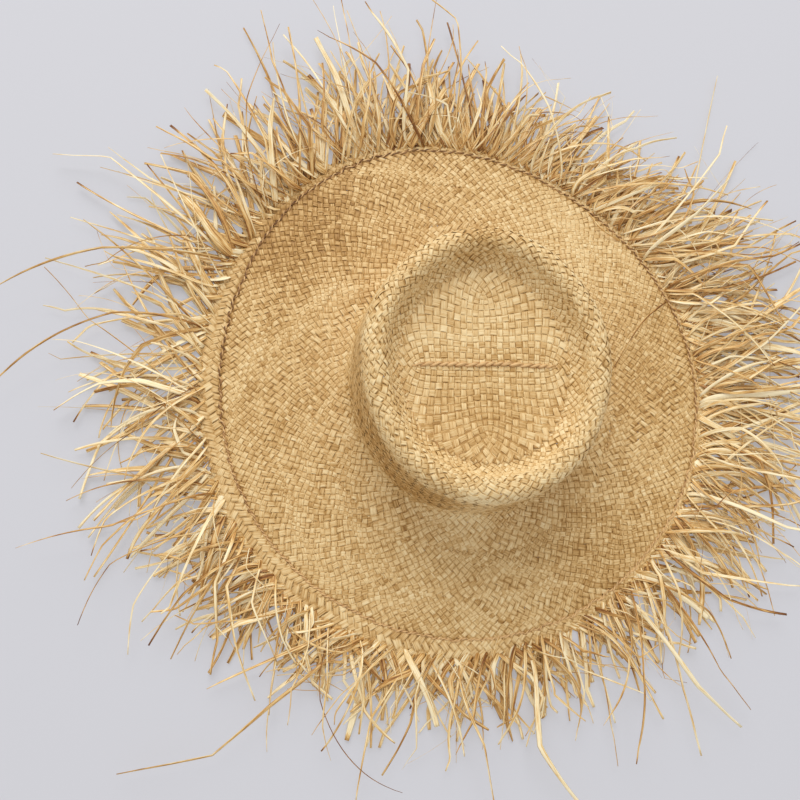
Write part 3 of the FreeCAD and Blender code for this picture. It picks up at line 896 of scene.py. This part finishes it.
def make_brim():
    """The cloth of the flare, the brim and the margin, in rings of more and more strands."""
    whole = S_MARGIN - BARE_MARGIN - S_FLARE
    starts = [S_FLARE + share * whole for _, share, _ in BRIM_RINGS] + [S_FLARE + whole - BRIM_LAP]
    for ring, (count, _, parts) in enumerate(BRIM_RINGS):
        reach = (starts[ring] - BRIM_LAP, starts[ring + 1] + BRIM_LAP)
        for side, hand in HANDS:
            for part in range(parts):
                name = f"brim_strands_{ring + 1}_{side}_{part + 1}"
                share = (part / parts, (part + 1) / parts)
                piece = weave_family(name, count, reach, hand, 21 + 10 * ring, BRIM_PAINTED_SHADE, share)
                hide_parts("brim_flare", "brim", "brim_margin")


# ---- Twined rows: two strands twisted round each other ----

EDGE_TURNS = 170  # twists of the row at the edge
EDGE_STRAND = 0.5 * MM  # radius
EDGE_SPREAD = 0.62 * MM  # how far each strand swings to the side
EDGE_HEIGHT = 0.45 * MM
# How the row wavers to the side: size, and waves round the hat
EDGE_WAVERS = ((1.1 * MM, waves(17, 8, 5, 47)), (1.6 * MM, waves(19, 9, 60, 150)))
# Its two strands: number, start of its twist, and tint at the back against the front
EDGE_STRANDS = ((1, 0.0, -1.6), (2, 0.5, 0.7))
TIP_STRAND = 0.95 * MM
TIP_SPREAD = 0.8 * MM
TIP_TWIST = 13 * MM  # length of one twist of the row across the tip
TIP_ROW_SHADE = 0.5
# How that row wavers to the side: size, rate for each metre, and start
TIP_ROW_WAVERS = ((0.9 * MM, 38, 1.0), (0.35 * MM, 140, 0.0))
TIP_ROW_STEPS = 240
TWINED_RISE = 0.85  # how far a twined strand swings up and down, in its radius
TWINED_WIDTH = 1.15  # half width and thickness of a twined strand, in its radius
TWINED_THICKNESS = 1.7
# painted light and shade: a twined strand is painted paler where it swings up on top and darker where it
# dips under
TWINED_PAINTED_LIGHT = 0.8  # how much paler it is where it lies on top
# How uneven the twist and the thickness are: size, and waves for each twist of the row
TWIST_WAVER = (0.5, 2.3 / TURN)
SWELL_WAVER = (0.16, 4.1 / TURN)
THIN_END = 0.35  # a strand's thickness at its very ends, against the usual


def twined_strand(name, node, middle, up, turns, radius, spread, start, seed, shade):
    """One strand of a twined row that follows middle, as a piece. shade is its tint."""
    draws = np.random.default_rng(seed)
    side = unit(np.cross(np.gradient(middle, axis=0), up))
    share = np.linspace(0, 1, len(middle))

    def waver(size, rate):
        """Slow swings along the strand."""
        return size * np.sin(TURN * rate * turns * share + draws.uniform(0, TURN))

    turn = TURN * (start + turns * share) + waver(*TWIST_WAVER)
    swing_side = (spread * np.cos(turn))[:, None]
    swing_up = (TWINED_RISE * radius * np.sin(turn))[:, None]
    way = middle + side * swing_side + up * swing_up
    ends = soften(np.minimum(share, 1 - share) * turns)
    swell = radius * (1 + waver(*SWELL_WAVER)) * (THIN_END + (1 - THIN_END) * ends)
    half_width, thickness = swell * TWINED_WIDTH, swell * TWINED_THICKNESS
    rings, marks = strand_rings(way[None], up[None], half_width[None], thickness[None], ROUND_OUTLINE, seed)
    # Painted light and shade along the twist, on top of the strand's tint
    tint = shade + TWINED_PAINTED_LIGHT * np.sin(turn) + draws.normal(0, 0.1)
    tone = np.broadcast_to(tint[None, :, None], rings.shape[:3])
    piece = mesh_object(name, rings, marks, tone, twine_material)
    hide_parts(node)
    finish_piece(piece)


def make_edge_row():
    """The row that locks the plait all round the edge, palest at the hat's right."""
    t = np.linspace(0, 1.001, EDGE_TURNS * 8)
    waver = sum(size * wave_sum(TURN * t, terms) for size, terms in EDGE_WAVERS)
    middle, up = cloth_place(t, S_ROW + waver, EDGE_HEIGHT)
    shade = 0.7 + 0.4 * np.cos(TURN * t) - 0.6 * row_seen(t)
    for number, start, contrast in EDGE_STRANDS:
        twined_strand(
            f"edge_row_{number}", "edge_twining", middle, up, EDGE_TURNS, EDGE_STRAND, EDGE_SPREAD, start,
            60 + number, shade + contrast * row_seen(t),
        )


def make_tip_row():
    """The raised row across the tip, between the ends of the level strands."""
    low, high = tip_row_low.x, tip_row_high.x
    x = np.linspace(low + MM, high - MM, TIP_ROW_STEPS)
    y = sum(size * np.sin(x * rate + start) for size, rate, start in TIP_ROW_WAVERS)
    middle = warp(np.stack([x, y, tip_height(x, y) + FABRIC / 2 + TIP_STRAND * 0.35], 1))
    turns = (high - low) / TIP_TWIST
    for number, name in enumerate(("tip_twining_first", "tip_twining_second")):
        twined_strand(
            f"{name}_strand", name, middle, straight_up(middle), turns, TIP_STRAND, TIP_SPREAD, number / 2,
            70 + number, TIP_ROW_SHADE,
        )


# ---- Fringe ----

SECTORS = 24
FRINGE_STEPS = 24
FLOOR_CLEARANCE = 0.35 * MM

# How the fringe lies round the hat: degrees round it, how far the strands lean from
# straight outwards in degrees anticlockwise, how far the strands of the two hands of the
# plait splay to either side of that, and how long and how dense they are against the usual
FRINGE_WAYS = (
    (0, 6, 12, 1.65, 1.5), (22, -6, 8, 1.6, 1.45), (45, -14, 8, 1.25, 1.3), (66, -26, 14, 1.05, 1.2),
    (85, -6, 10, 1.1, 1.3), (105, -10, 10, 1.15, 1.3), (128, -18, 12, 1.25, 1.1), (150, -14, 18, 1.3, 0.85),
    (172, -8, 28, 1.35, 0.7), (192, 2, 30, 1.25, 0.75), (206, 12, 24, 1.0, 1.0), (220, 16, 22, 0.85, 1.3),
    (238, 0, 40, 0.85, 1.15), (258, 8, 36, 0.85, 1.05), (280, 16, 30, 0.8, 1.05), (300, 10, 26, 0.95, 0.95),
    (318, 2, 22, 1.1, 0.9), (340, 0, 14, 1.45, 1.1), (360, 6, 12, 1.65, 1.5),
)
# The kinds of fringe strand: how many, their lengths and half widths in millimetres, how
# much their headings vary in degrees, how high they arch in millimetres, and how sharply
# they bend in degrees
FRINGE_KINDS = (
    (540, (22, 68), (1.4, 2.9), 6, (0.5, 9), 14),
    (500, (40, 88), (0.8, 1.9), 9, (1, 18), 24),
    (340, (32, 96), (0.2, 0.6), 24, (1, 26), 36),
    (120, (80, 118), (0.4, 1.4), 14, (6, 32), 24),
    (64, (36, 84), (2.4, 3.6), 10, (2, 14), 8),
)
ROOT_DEPTH = 8 * MM  # how far inside the margin's outer edge a strand may leave the plait
ROOT_HEIGHTS = (-0.6, 0.15)  # how high it starts against the cloth's middle, in millimetres
ROLL = (0.25, 0.5)  # how much the strands are rolled at the root and along them, in radians
BOWS = (-0.15, 0.35)  # how much they are bowed across, in their half width
ROOT_TURN = (30, 50)  # how far it starts off to the side that its hand leads, in degrees
SETTLE_LENGTHS = (6, 22)  # over how many millimetres it turns to its own heading
CLUMP_WAVES = waves(41, 7, 14, 61)  # clumps of strands that lean the same way
CLUMP_LEAN = 26
REACH_WAVES = waves(43, 6, 9, 37)  # and that are about as long
CLUMP_REACH = 0.3
# Where along a strand a kink may be, and the share of strands that have it
KINKS = ((0.15, 0.5, 0.55), (0.5, 0.9, 0.7))
KINK_SHARE = 0.03  # how sharp a kink is, as a share of the strand's length
DROOP = 40  # how far the strands at the sides may curl towards the front, in degrees
DARK_TIPS = 0.12  # share of the strands that have a dark tip
DARK_TIP_TONE = -3.0
# painted shade: a strand is painted darker where it leaves the plait, among the crowded roots
ROOT_PAINTED_SHADE = -0.55  # tint of a strand where it leaves the plait
LEAF_TINT = 0.8  # how much the strands differ in tint
LEAF_NARROWING = 0.35  # how much narrower a strand is at its tip than at its root
LEAF_POINT = 0.8  # the same for the most pointed ones
LEAF_THICKNESS = 0.32  # against the half width, between a least and a most
LEAF_THICKNESSES = (0.12 * MM, 0.42 * MM)
# Painted light: the fringe is painted palest at the hat's sides and darkest at its back: degrees round it,
# tint
FRINGE_PAINTED_LIGHT = (
    (0, 0.6), (50, 0.7), (88, 0.1), (135, 0.5), (180, 0.7), (225, 0.35), (268, 0.3), (312, 0.35),
    (360, 0.6),
)
LONG_SETTLE = 9 * MM  # over how much of its length a long strand turns to its own heading
LONG_ROOT_HEIGHT = 0.8 * MM
LONG_KINK = 7  # how sharply it bends once more, in degrees
LONG_WIDE = 1.4  # the half width in millimetres from which it is a broad, pale one
LONG_TINTS = (1.6, -0.2)  # tints of the broad and of the thin ones
# The strands that stand out of the fringe. Each has the CAD node that it belongs to, its
# root in degrees round the hat, first and last heading in degrees from +X, how far it curls
# in degrees, length, half width and lift in millimetres, and its kink: where along it, and
# degrees turned.
LONG_STRANDS = (
    (1, 356, 30, 4, 4, 104, 3.2, 10, 0.5, 6),
    (1, 10, 30, 20, -6, 122, 0.8, 18, 0.6, -10),
    (2, 28, 40, 16, 6, 126, 1.2, 20, 0.7, 12),
    (2, 38, 60, 34, 0, 104, 1.7, 16, 0.5, 8),
    (3, 62, 90, 18, 6, 96, 1.7, 14, 0.6, -8),
    (3, 66, 80, 106, 10, 128, 1.0, 22, 0.8, 14),
    (4, 90, 120, 84, 6, 150, 0.8, 24, 0.64, 40),
    (4, 97, 90, 94, -4, 140, 0.45, 20, 0.5, -8),
    (5, 112, 100, 92, 8, 146, 0.5, 22, 0.4, 8),
    (5, 122, 110, 116, 10, 138, 0.9, 22, 0.6, -14),
    (6, 136, 130, 104, -12, 158, 0.6, 26, 0.5, -14),
    (6, 149, 150, 128, 6, 62, 4.6, 10, 0.6, 6),
    (6, 151, 170, 180, 34, 186, 1.0, 26, 0.45, 8),
    (7, 168, 160, 172, 42, 164, 0.9, 20, 0.35, 14),
    (7, 184, 180, 160, 34, 104, 2.6, 12, 0.62, 14),
    (8, 207, 180, 200, 26, 136, 0.8, 20, 0.5, -20),
    (8, 212, 240, 186, 44, 128, 0.5, 18, 0.6, 22),
    (9, 247, 225, 216, -4, 180, 1.4, 14, 0.62, -28),
    (9, 244, 230, 256, 72, 136, 0.45, 16, 0.3, 12),
    (10, 281, 290, 262, 22, 122, 2.2, 18, 0.5, 28),
    (10, 268, 250, 286, 10, 108, 1.2, 18, 0.5, -18),
    (11, 303, 330, 304, 4, 130, 1.9, 16, 0.6, 12),
    (11, 318, 300, 318, 22, 112, 1.4, 14, 0.5, 14),
    (12, 332, 360, 336, 8, 120, 1.9, 16, 0.6, 12),
    (12, 342, 330, 346, 10, 114, 0.6, 18, 0.5, -16),
)


def strand_ways(root, first_heading, last_heading, length, settle, lift, kinks, curl):
    """Centre lines of free strands. The arguments are one value for each strand.

    A strand leaves root at its first heading, turns to the last one over the length
    settle, turns sharply at each of its kinks and slowly by curl, arches up by lift and
    comes down a little.
    """
    share = np.linspace(0, 1, FRINGE_STEPS)[None, :]
    reach = share * length[:, None]
    turn_back = np.mod(first_heading - last_heading + math.pi, TURN) - math.pi  # the shorter way round
    heading = last_heading[:, None] + turn_back[:, None] * np.exp(-reach / settle[:, None])
    heading = heading + curl[:, None] * share ** 1.5
    for kink_place, kink_turn in kinks:
        heading = heading + kink_turn[:, None] * soften((share - kink_place[:, None]) / KINK_SHARE)
    step = length[:, None] / (FRINGE_STEPS - 1)
    walked = [np.cumsum(part(heading) * step, 1)[:, :-1] for part in (np.cos, np.sin)]
    x, y = (root[:, axis:axis + 1] + np.pad(walked[axis], ((0, 0), (1, 0))) for axis in (0, 1))
    rise = np.sin(math.pi * np.minimum(share * 1.1, 1.0) ** 0.8 * 0.75)
    z = root[:, 2:3] * (1 - 0.4 * share) + lift[:, None] * rise
    return np.stack([x, y, z], -1)


def leaf_piece(name, nodes, strands, seed, shade):
    """A group of free strands as a piece. strands holds their ways and sizes."""
    way, half_width, roll, dark_tip, bow = strands
    draws = np.random.default_rng(seed)
    share = np.linspace(0, 1, way.shape[1])[None, :]
    along = unit(np.gradient(way, axis=1))
    level = unit(np.cross(np.array([0.0, 0.0, 1.0]), along))
    up = np.cross(along, level)
    tilt = roll[:, 0:1] + roll[:, 1:2] * share
    up = up * np.cos(tilt)[..., None] + level * np.sin(tilt)[..., None]
    pointed = draws.uniform(0.0, 1.0, (len(way), 1)) ** 2
    taper = (0.75 + 0.25 * soften(share / 0.1)) * (1 - LEAF_NARROWING * share)
    taper = taper * (1 - LEAF_POINT * pointed * share ** 6)
    taper = taper * (1 + 0.13 * np.sin(share * 11 + draws.uniform(0, TURN, (len(way), 1))))
    wide = half_width[:, None] * taper
    lowest = FLOOR_CLEARANCE + wide * np.abs(np.sin(tilt)) * 0.9
    way = np.concatenate([way[..., :2], np.maximum(way[..., 2:], lowest[..., None])], -1)
    thick = np.clip(wide * LEAF_THICKNESS, *LEAF_THICKNESSES)
    rings, marks = strand_rings(way, up, wide, thick, LEAF_OUTLINE, seed * 50, bow[:, None] * wide)
    # Painted shade near the root, among the crowded strands
    tones = shade + draws.normal(0, LEAF_TINT, (len(way), 1)) + ROOT_PAINTED_SHADE * (1 - soften(share / 0.3))
    tones = tones + DARK_TIP_TONE * dark_tip[:, None] * soften((share - 0.9) / 0.1)
    tone = np.repeat(tones[:, :, None], rings.shape[2], 2)
    piece = mesh_object(name, rings, marks, tone, strand_material)
    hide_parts(*nodes)
    finish_piece(piece)


def scattered_strands(draws, kind):
    """One kind of fringe strand scattered all round: its strands and their angles."""
    count, lengths, widths, spread, lifts, bend = kind
    even = np.linspace(0, 1, 721)
    crowd = np.cumsum(ways_at(FRINGE_WAYS, even)[3])
    crowd = (crowd - crowd[0]) / (crowd[-1] - crowd[0])
    t = np.interp((np.arange(count) + draws.uniform(0, 1, count)) / count, crowd, even)
    lean, splay, reach, _ = ways_at(FRINGE_WAYS, t)
    margin = ways_at(MARGIN_WAYS, t)[0] * MM
    inwards = np.minimum(0.6 * margin, ROOT_DEPTH) * draws.uniform(0, 1, count)
    s = S_ROW + 0.5 * MM + 0.9 * margin - inwards
    root, _ = cloth_place(t, s, draws.uniform(*ROOT_HEIGHTS, count) * MM)
    _, _, out_x, out_y = oval_place(t)
    outward = np.arctan2(out_y, out_x)
    around = np.arctan2(root[:, 1], root[:, 0])
    lean = lean + CLUMP_LEAN * wave_sum(around, CLUMP_WAVES)
    reach = reach * (1 + CLUMP_REACH * wave_sum(around, REACH_WAVES))
    side = draws.choice((-1.0, 1.0), count)
    aim = outward + np.radians(lean + side * splay + draws.normal(0, spread, count))
    first = outward + side * np.radians(draws.uniform(*ROOT_TURN, count))
    length = draws.uniform(*lengths, count) * reach * MM
    lift = draws.uniform(*lifts, count) * MM * draws.uniform(0.3, 1, count)
    kinks = []
    for low, high, share in KINKS:
        bent = draws.uniform(0, 1, count) < share
        kinks.append((draws.uniform(low, high, count), bent * np.radians(draws.normal(0, bend, count))))
    curl = draws.normal(0, 0.9 * bend, count) - DROOP * draws.uniform(0, 1, count) * np.cos(aim)
    settle = draws.uniform(*SETTLE_LENGTHS, count) * MM
    way = strand_ways(root, first, aim, length, settle, lift, kinks, np.radians(curl))
    half_width = draws.uniform(*widths, count) * MM
    roll = np.stack([draws.normal(0, size, count) for size in ROLL], 1)
    dark_tip = (draws.uniform(0, 1, count) < DARK_TIPS).astype(float)
    return (way, half_width, roll, dark_tip, draws.uniform(*BOWS, count)), around


def make_fringe():
    """The loose ends of the plaiting strands, in a group for each sector of the edge."""
    draws = np.random.default_rng(77)
    groups = [[] for _ in range(SECTORS)]
    for kind in FRINGE_KINDS:
        strands, around = scattered_strands(draws, kind)
        sector = np.floor(np.mod(around / TURN, 1.0) * SECTORS).astype(int)
        for number in range(SECTORS):
            groups[number].append([part[sector == number] for part in strands])
    degrees, tints = np.array(FRINGE_PAINTED_LIGHT).T
    for number, parts in enumerate(groups, start=1):
        strands = [np.concatenate(column) for column in zip(*parts)]
        roots = strands[0][:, 0]
        around = np.mod(np.degrees(np.arctan2(roots[:, 1], roots[:, 0])), 360)
        # Painted light: each strand's tint by where it leaves the edge
        shade = np.interp(around, degrees, tints)[:, None]
        node = f"fringe_{number:02d}"
        leaf_piece(f"{node}_strands", [node], strands, 100 + number, shade)


def make_long_strands():
    """The longest strands, a few for each of the CAD's stray strands."""
    draws = np.random.default_rng(88)
    columns = np.array(LONG_STRANDS, float).T
    node, root_angle, first, last, curl, length, half_width, lift, kink_place, kink_turn = columns
    count = len(node)
    t = t_at_angle(root_angle)
    root, _ = cloth_place(t, S_ROW + 0.8 * MM * ways_at(MARGIN_WAYS, t)[0], LONG_ROOT_HEIGHT)
    slight = np.radians(draws.normal(0, LONG_KINK, count))
    kinks = [(kink_place, np.radians(kink_turn)), (0.55 * kink_place, slight)]
    first, last, curl = (np.radians(angle) for angle in (first, last, curl))
    settle = np.full(count, LONG_SETTLE)
    way = strand_ways(root, first, last, length * MM, settle, lift * MM, kinks, curl)
    roll = np.stack([draws.normal(0, 0.2, count), draws.normal(0, 0.7, count)], 1)
    strands = (way, half_width * MM, roll, (np.arange(count) + 1) % 2, np.full(count, 0.3))
    shade = np.where(half_width > LONG_WIDE, *LONG_TINTS)[:, None]
    for number in range(1, int(node.max()) + 1):
        mine = node == number
        name = f"stray_strand_{number:02d}"
        leaves = [part[mine] for part in strands]
        leaf_piece(f"{name}_leaves", [name], leaves, 200 + number, shade[mine])


# ---- Loose ends on the brim ----


def thin_end(name, node, points, half_width, dark_tip, shade):
    """A thin strand through a few given points."""
    places = np.linspace(0, len(points) - 1, FRINGE_STEPS)
    way = curve_through(np.array(points), places)[None]
    strands = (way, np.array([half_width]), np.array([[0.2, 0.8]]), np.array([dark_tip]), np.array([0.2]))
    leaf_piece(name, [node], strands, 300 + len(points), shade)


def make_loose_ends():
    """A broken strand that arches from the row to the crown, and a small bow at the row."""
    at_row, _ = cloth_place(t_at_angle(np.array([25.0, 45.5, 56.0])), S_ROW - 2.5 * MM, 1.0 * MM)
    at_crown, _ = cloth_place(t_at_angle(-5.0), S_FLARE + 12 * MM, 9 * MM)
    start, bow_start, bow_end = at_row
    arch = [start]
    for share, aside in ((0.25, (-6, 3, 9)), (0.5, (-6, 4, 13)), (0.75, (-3, 3, 10))):
        arch.append((1 - share) * start + share * at_crown + np.array(aside) * MM)
    thin_end("loose_strand_leaf", "loose_strand", arch + [at_crown], 0.85 * MM, 1.0, -2.6)
    bow_middle = 0.5 * (bow_start + bow_end) * (0.972, 0.972, 1.0) + (0, 0, 4 * MM)
    thin_end("loose_loop_leaf", "loose_loop", [bow_start, bow_middle, bow_end], 0.9 * MM, 0.0, 0.6)


# ---- Sweatband ----

BAND_RIBS = 420
BAND_RIB_STEPS = 4  # steps for each rib
BAND_RIB_DEPTH = 0.12 * MM
BAND_THICKNESS = 0.9 * MM
BAND_EDGE = 0.35 * MM  # how far its rounded edges reach up
STITCHES = 56
STITCH_STEPS = 12
STITCH_LENGTH = 5 * MM
STITCH_RADIUS = 0.3 * MM
STITCH_HEIGHT = 2.5 * MM
WALL_LEAN = RIDGE_OUT / (ridge_low.z - FLARE_TOP)


def band_point(t, height, inward):
    """A point of the sweatband: height over its lower edge, inward from its outer face."""
    x, y, out_x, out_y = oval_place(t)
    offset = BAND_OUT + WALL_LEAN * height - inward
    return np.stack([x + out_x * offset, y + out_y * offset, band_low.z + height + 0 * t], -1)


def make_sweatband():
    """The ribbon inside the crown's foot, with its ribs."""
    t = np.linspace(0, 1, BAND_RIBS * BAND_RIB_STEPS)
    rib = BAND_RIB_DEPTH * np.cos(TURN * BAND_RIBS * t)
    # Its outline: height, and how far inwards as a share of its thickness
    heights = (BAND_EDGE, BAND_HEIGHT * 0.33, BAND_HEIGHT * 0.67, BAND_HEIGHT - BAND_EDGE)
    rows = [(0.0, 0.25), (0.0, 0.75)] + [(height, 1.0) for height in heights]
    rows += [(BAND_HEIGHT, 0.75), (BAND_HEIGHT, 0.25), (heights[-1], 0.0), (heights[0], 0.0)]
    inwards = [share * BAND_THICKNESS - (rib if share == 1.0 else 0.0) for _, share in rows]
    rings = np.stack([band_point(t, rows[row][0], inwards[row]) for row in range(len(rows))], 1)[None]
    marks = np.zeros(rings.shape)
    marks[0, :, :, 0] = (t * round_at(BAND_OUT) / MM)[:, None]
    marks[0, :, :, 1] = np.array([height / MM for height, _ in rows])
    band = mesh_object("sweatband_ribbon", rings, marks, np.zeros(rings.shape[:3]), ribbon_material())
    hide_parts("sweatband")
    finish_piece(band)


def make_stitches():
    """Running stitches along the lower edge of the sweatband."""
    along = np.linspace(-1, 1, STITCH_STEPS)[None, :]
    t = (np.arange(STITCHES) / STITCHES)[:, None] + along / 2 * STITCH_LENGTH / round_at(BAND_OUT)
    ends = 1 - along ** 4 + 0 * t
    rise = BAND_THICKNESS + STITCH_RADIUS * (0.2 + ends)
    way = band_point(t, STITCH_HEIGHT, rise)
    inwards = band_point(t, STITCH_HEIGHT, rise + MM) - way
    radius = STITCH_RADIUS * (0.4 + 0.6 * ends)
    rings, marks = strand_rings(way, inwards, radius, radius * 2, ROUND_OUTLINE, 900)
    stitches = mesh_object("sweatband_thread", rings, marks, np.zeros(rings.shape[:3]), thread_material())
    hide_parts("sweatband_stitches")
    finish_piece(stitches)


# ---- Floor, light and camera ----

FLOOR_HALF = 6.0
LOOK_AT = Vector((0, 0, 0.04))  # what the lamp points at: the hat's middle
KEY_PLACE = (-0.84, 3.6, 3.0)
KEY_SIZE = 3.6
KEY_POWER = 165.0
SKY_STRENGTH = 0.69
# Where the hat lies before the camera: turns about X, Y and Z in radians, and place
HAT_TURN = (-0.182, 0.141, -0.018)
HAT_PLACE = (0.0496, 0.0118, -0.622)


def make_floor():
    """A plain pale floor that glows a little, which keeps the shadows on it soft."""
    mesh = bpy.data.meshes.new("floor")
    corners = [(x * FLOOR_HALF, y * FLOOR_HALF, 0) for x, y in ((-1, -1), (1, -1), (1, 1), (-1, 1))]
    mesh.from_pydata(corners, [], [(0, 1, 2, 3)])
    floor = bpy.data.objects.new("floor", mesh)
    bpy.context.scene.collection.objects.link(floor)
    paint = Nodes("floor_paint")
    values = {
        "Base Color": srgb(152, 153, 160), "Roughness": 0.8,
        "Emission Color": srgb(250, 250, 255), "Emission Strength": 0.31,
    }
    for key, value in values.items():
        paint.shader.inputs[key].default_value = value
    mesh.materials.append(paint.material)


def make_light():
    """A large soft key from beyond the hat's back, and an even fill from all round."""
    light = bpy.data.lights.new("key", "AREA")
    light.shape = "SQUARE"
    light.size = KEY_SIZE
    light.energy = KEY_POWER
    light.color = (1.0, 0.985, 0.96)
    lamp = bpy.data.objects.new("key", light)
    lamp.location = KEY_PLACE
    lamp.rotation_euler = (LOOK_AT - Vector(KEY_PLACE)).to_track_quat("-Z", "Y").to_euler()
    bpy.context.scene.collection.objects.link(lamp)
    world = bpy.data.worlds.new("studio")
    world.use_nodes = True
    sky = world.node_tree.nodes["Background"]
    sky.inputs["Color"].default_value = (1.0, 0.98, 0.955, 1)
    sky.inputs["Strength"].default_value = SKY_STRENGTH
    bpy.context.scene.world = world
    bpy.context.scene.view_settings.view_transform = "Standard"


def make_camera():
    """The view from above, a little from the hat's front and right."""
    camera = bpy.data.cameras.new("camera")
    camera.sensor_width = 36.0
    camera.lens = 36.0
    camera.clip_start = 0.01
    holder = bpy.data.objects.new("camera", camera)
    holder.matrix_world = (Matrix.Translation(HAT_PLACE) @ Euler(HAT_TURN).to_matrix().to_4x4()).inverted()
    bpy.context.scene.collection.objects.link(holder)
    bpy.context.scene.camera = holder


make_tip()
make_crown()
make_brim()
make_edge_row()
make_tip_row()
make_fringe()
make_long_strands()
make_loose_ends()
make_sweatband()
make_stitches()
make_floor()
make_light()
make_camera()
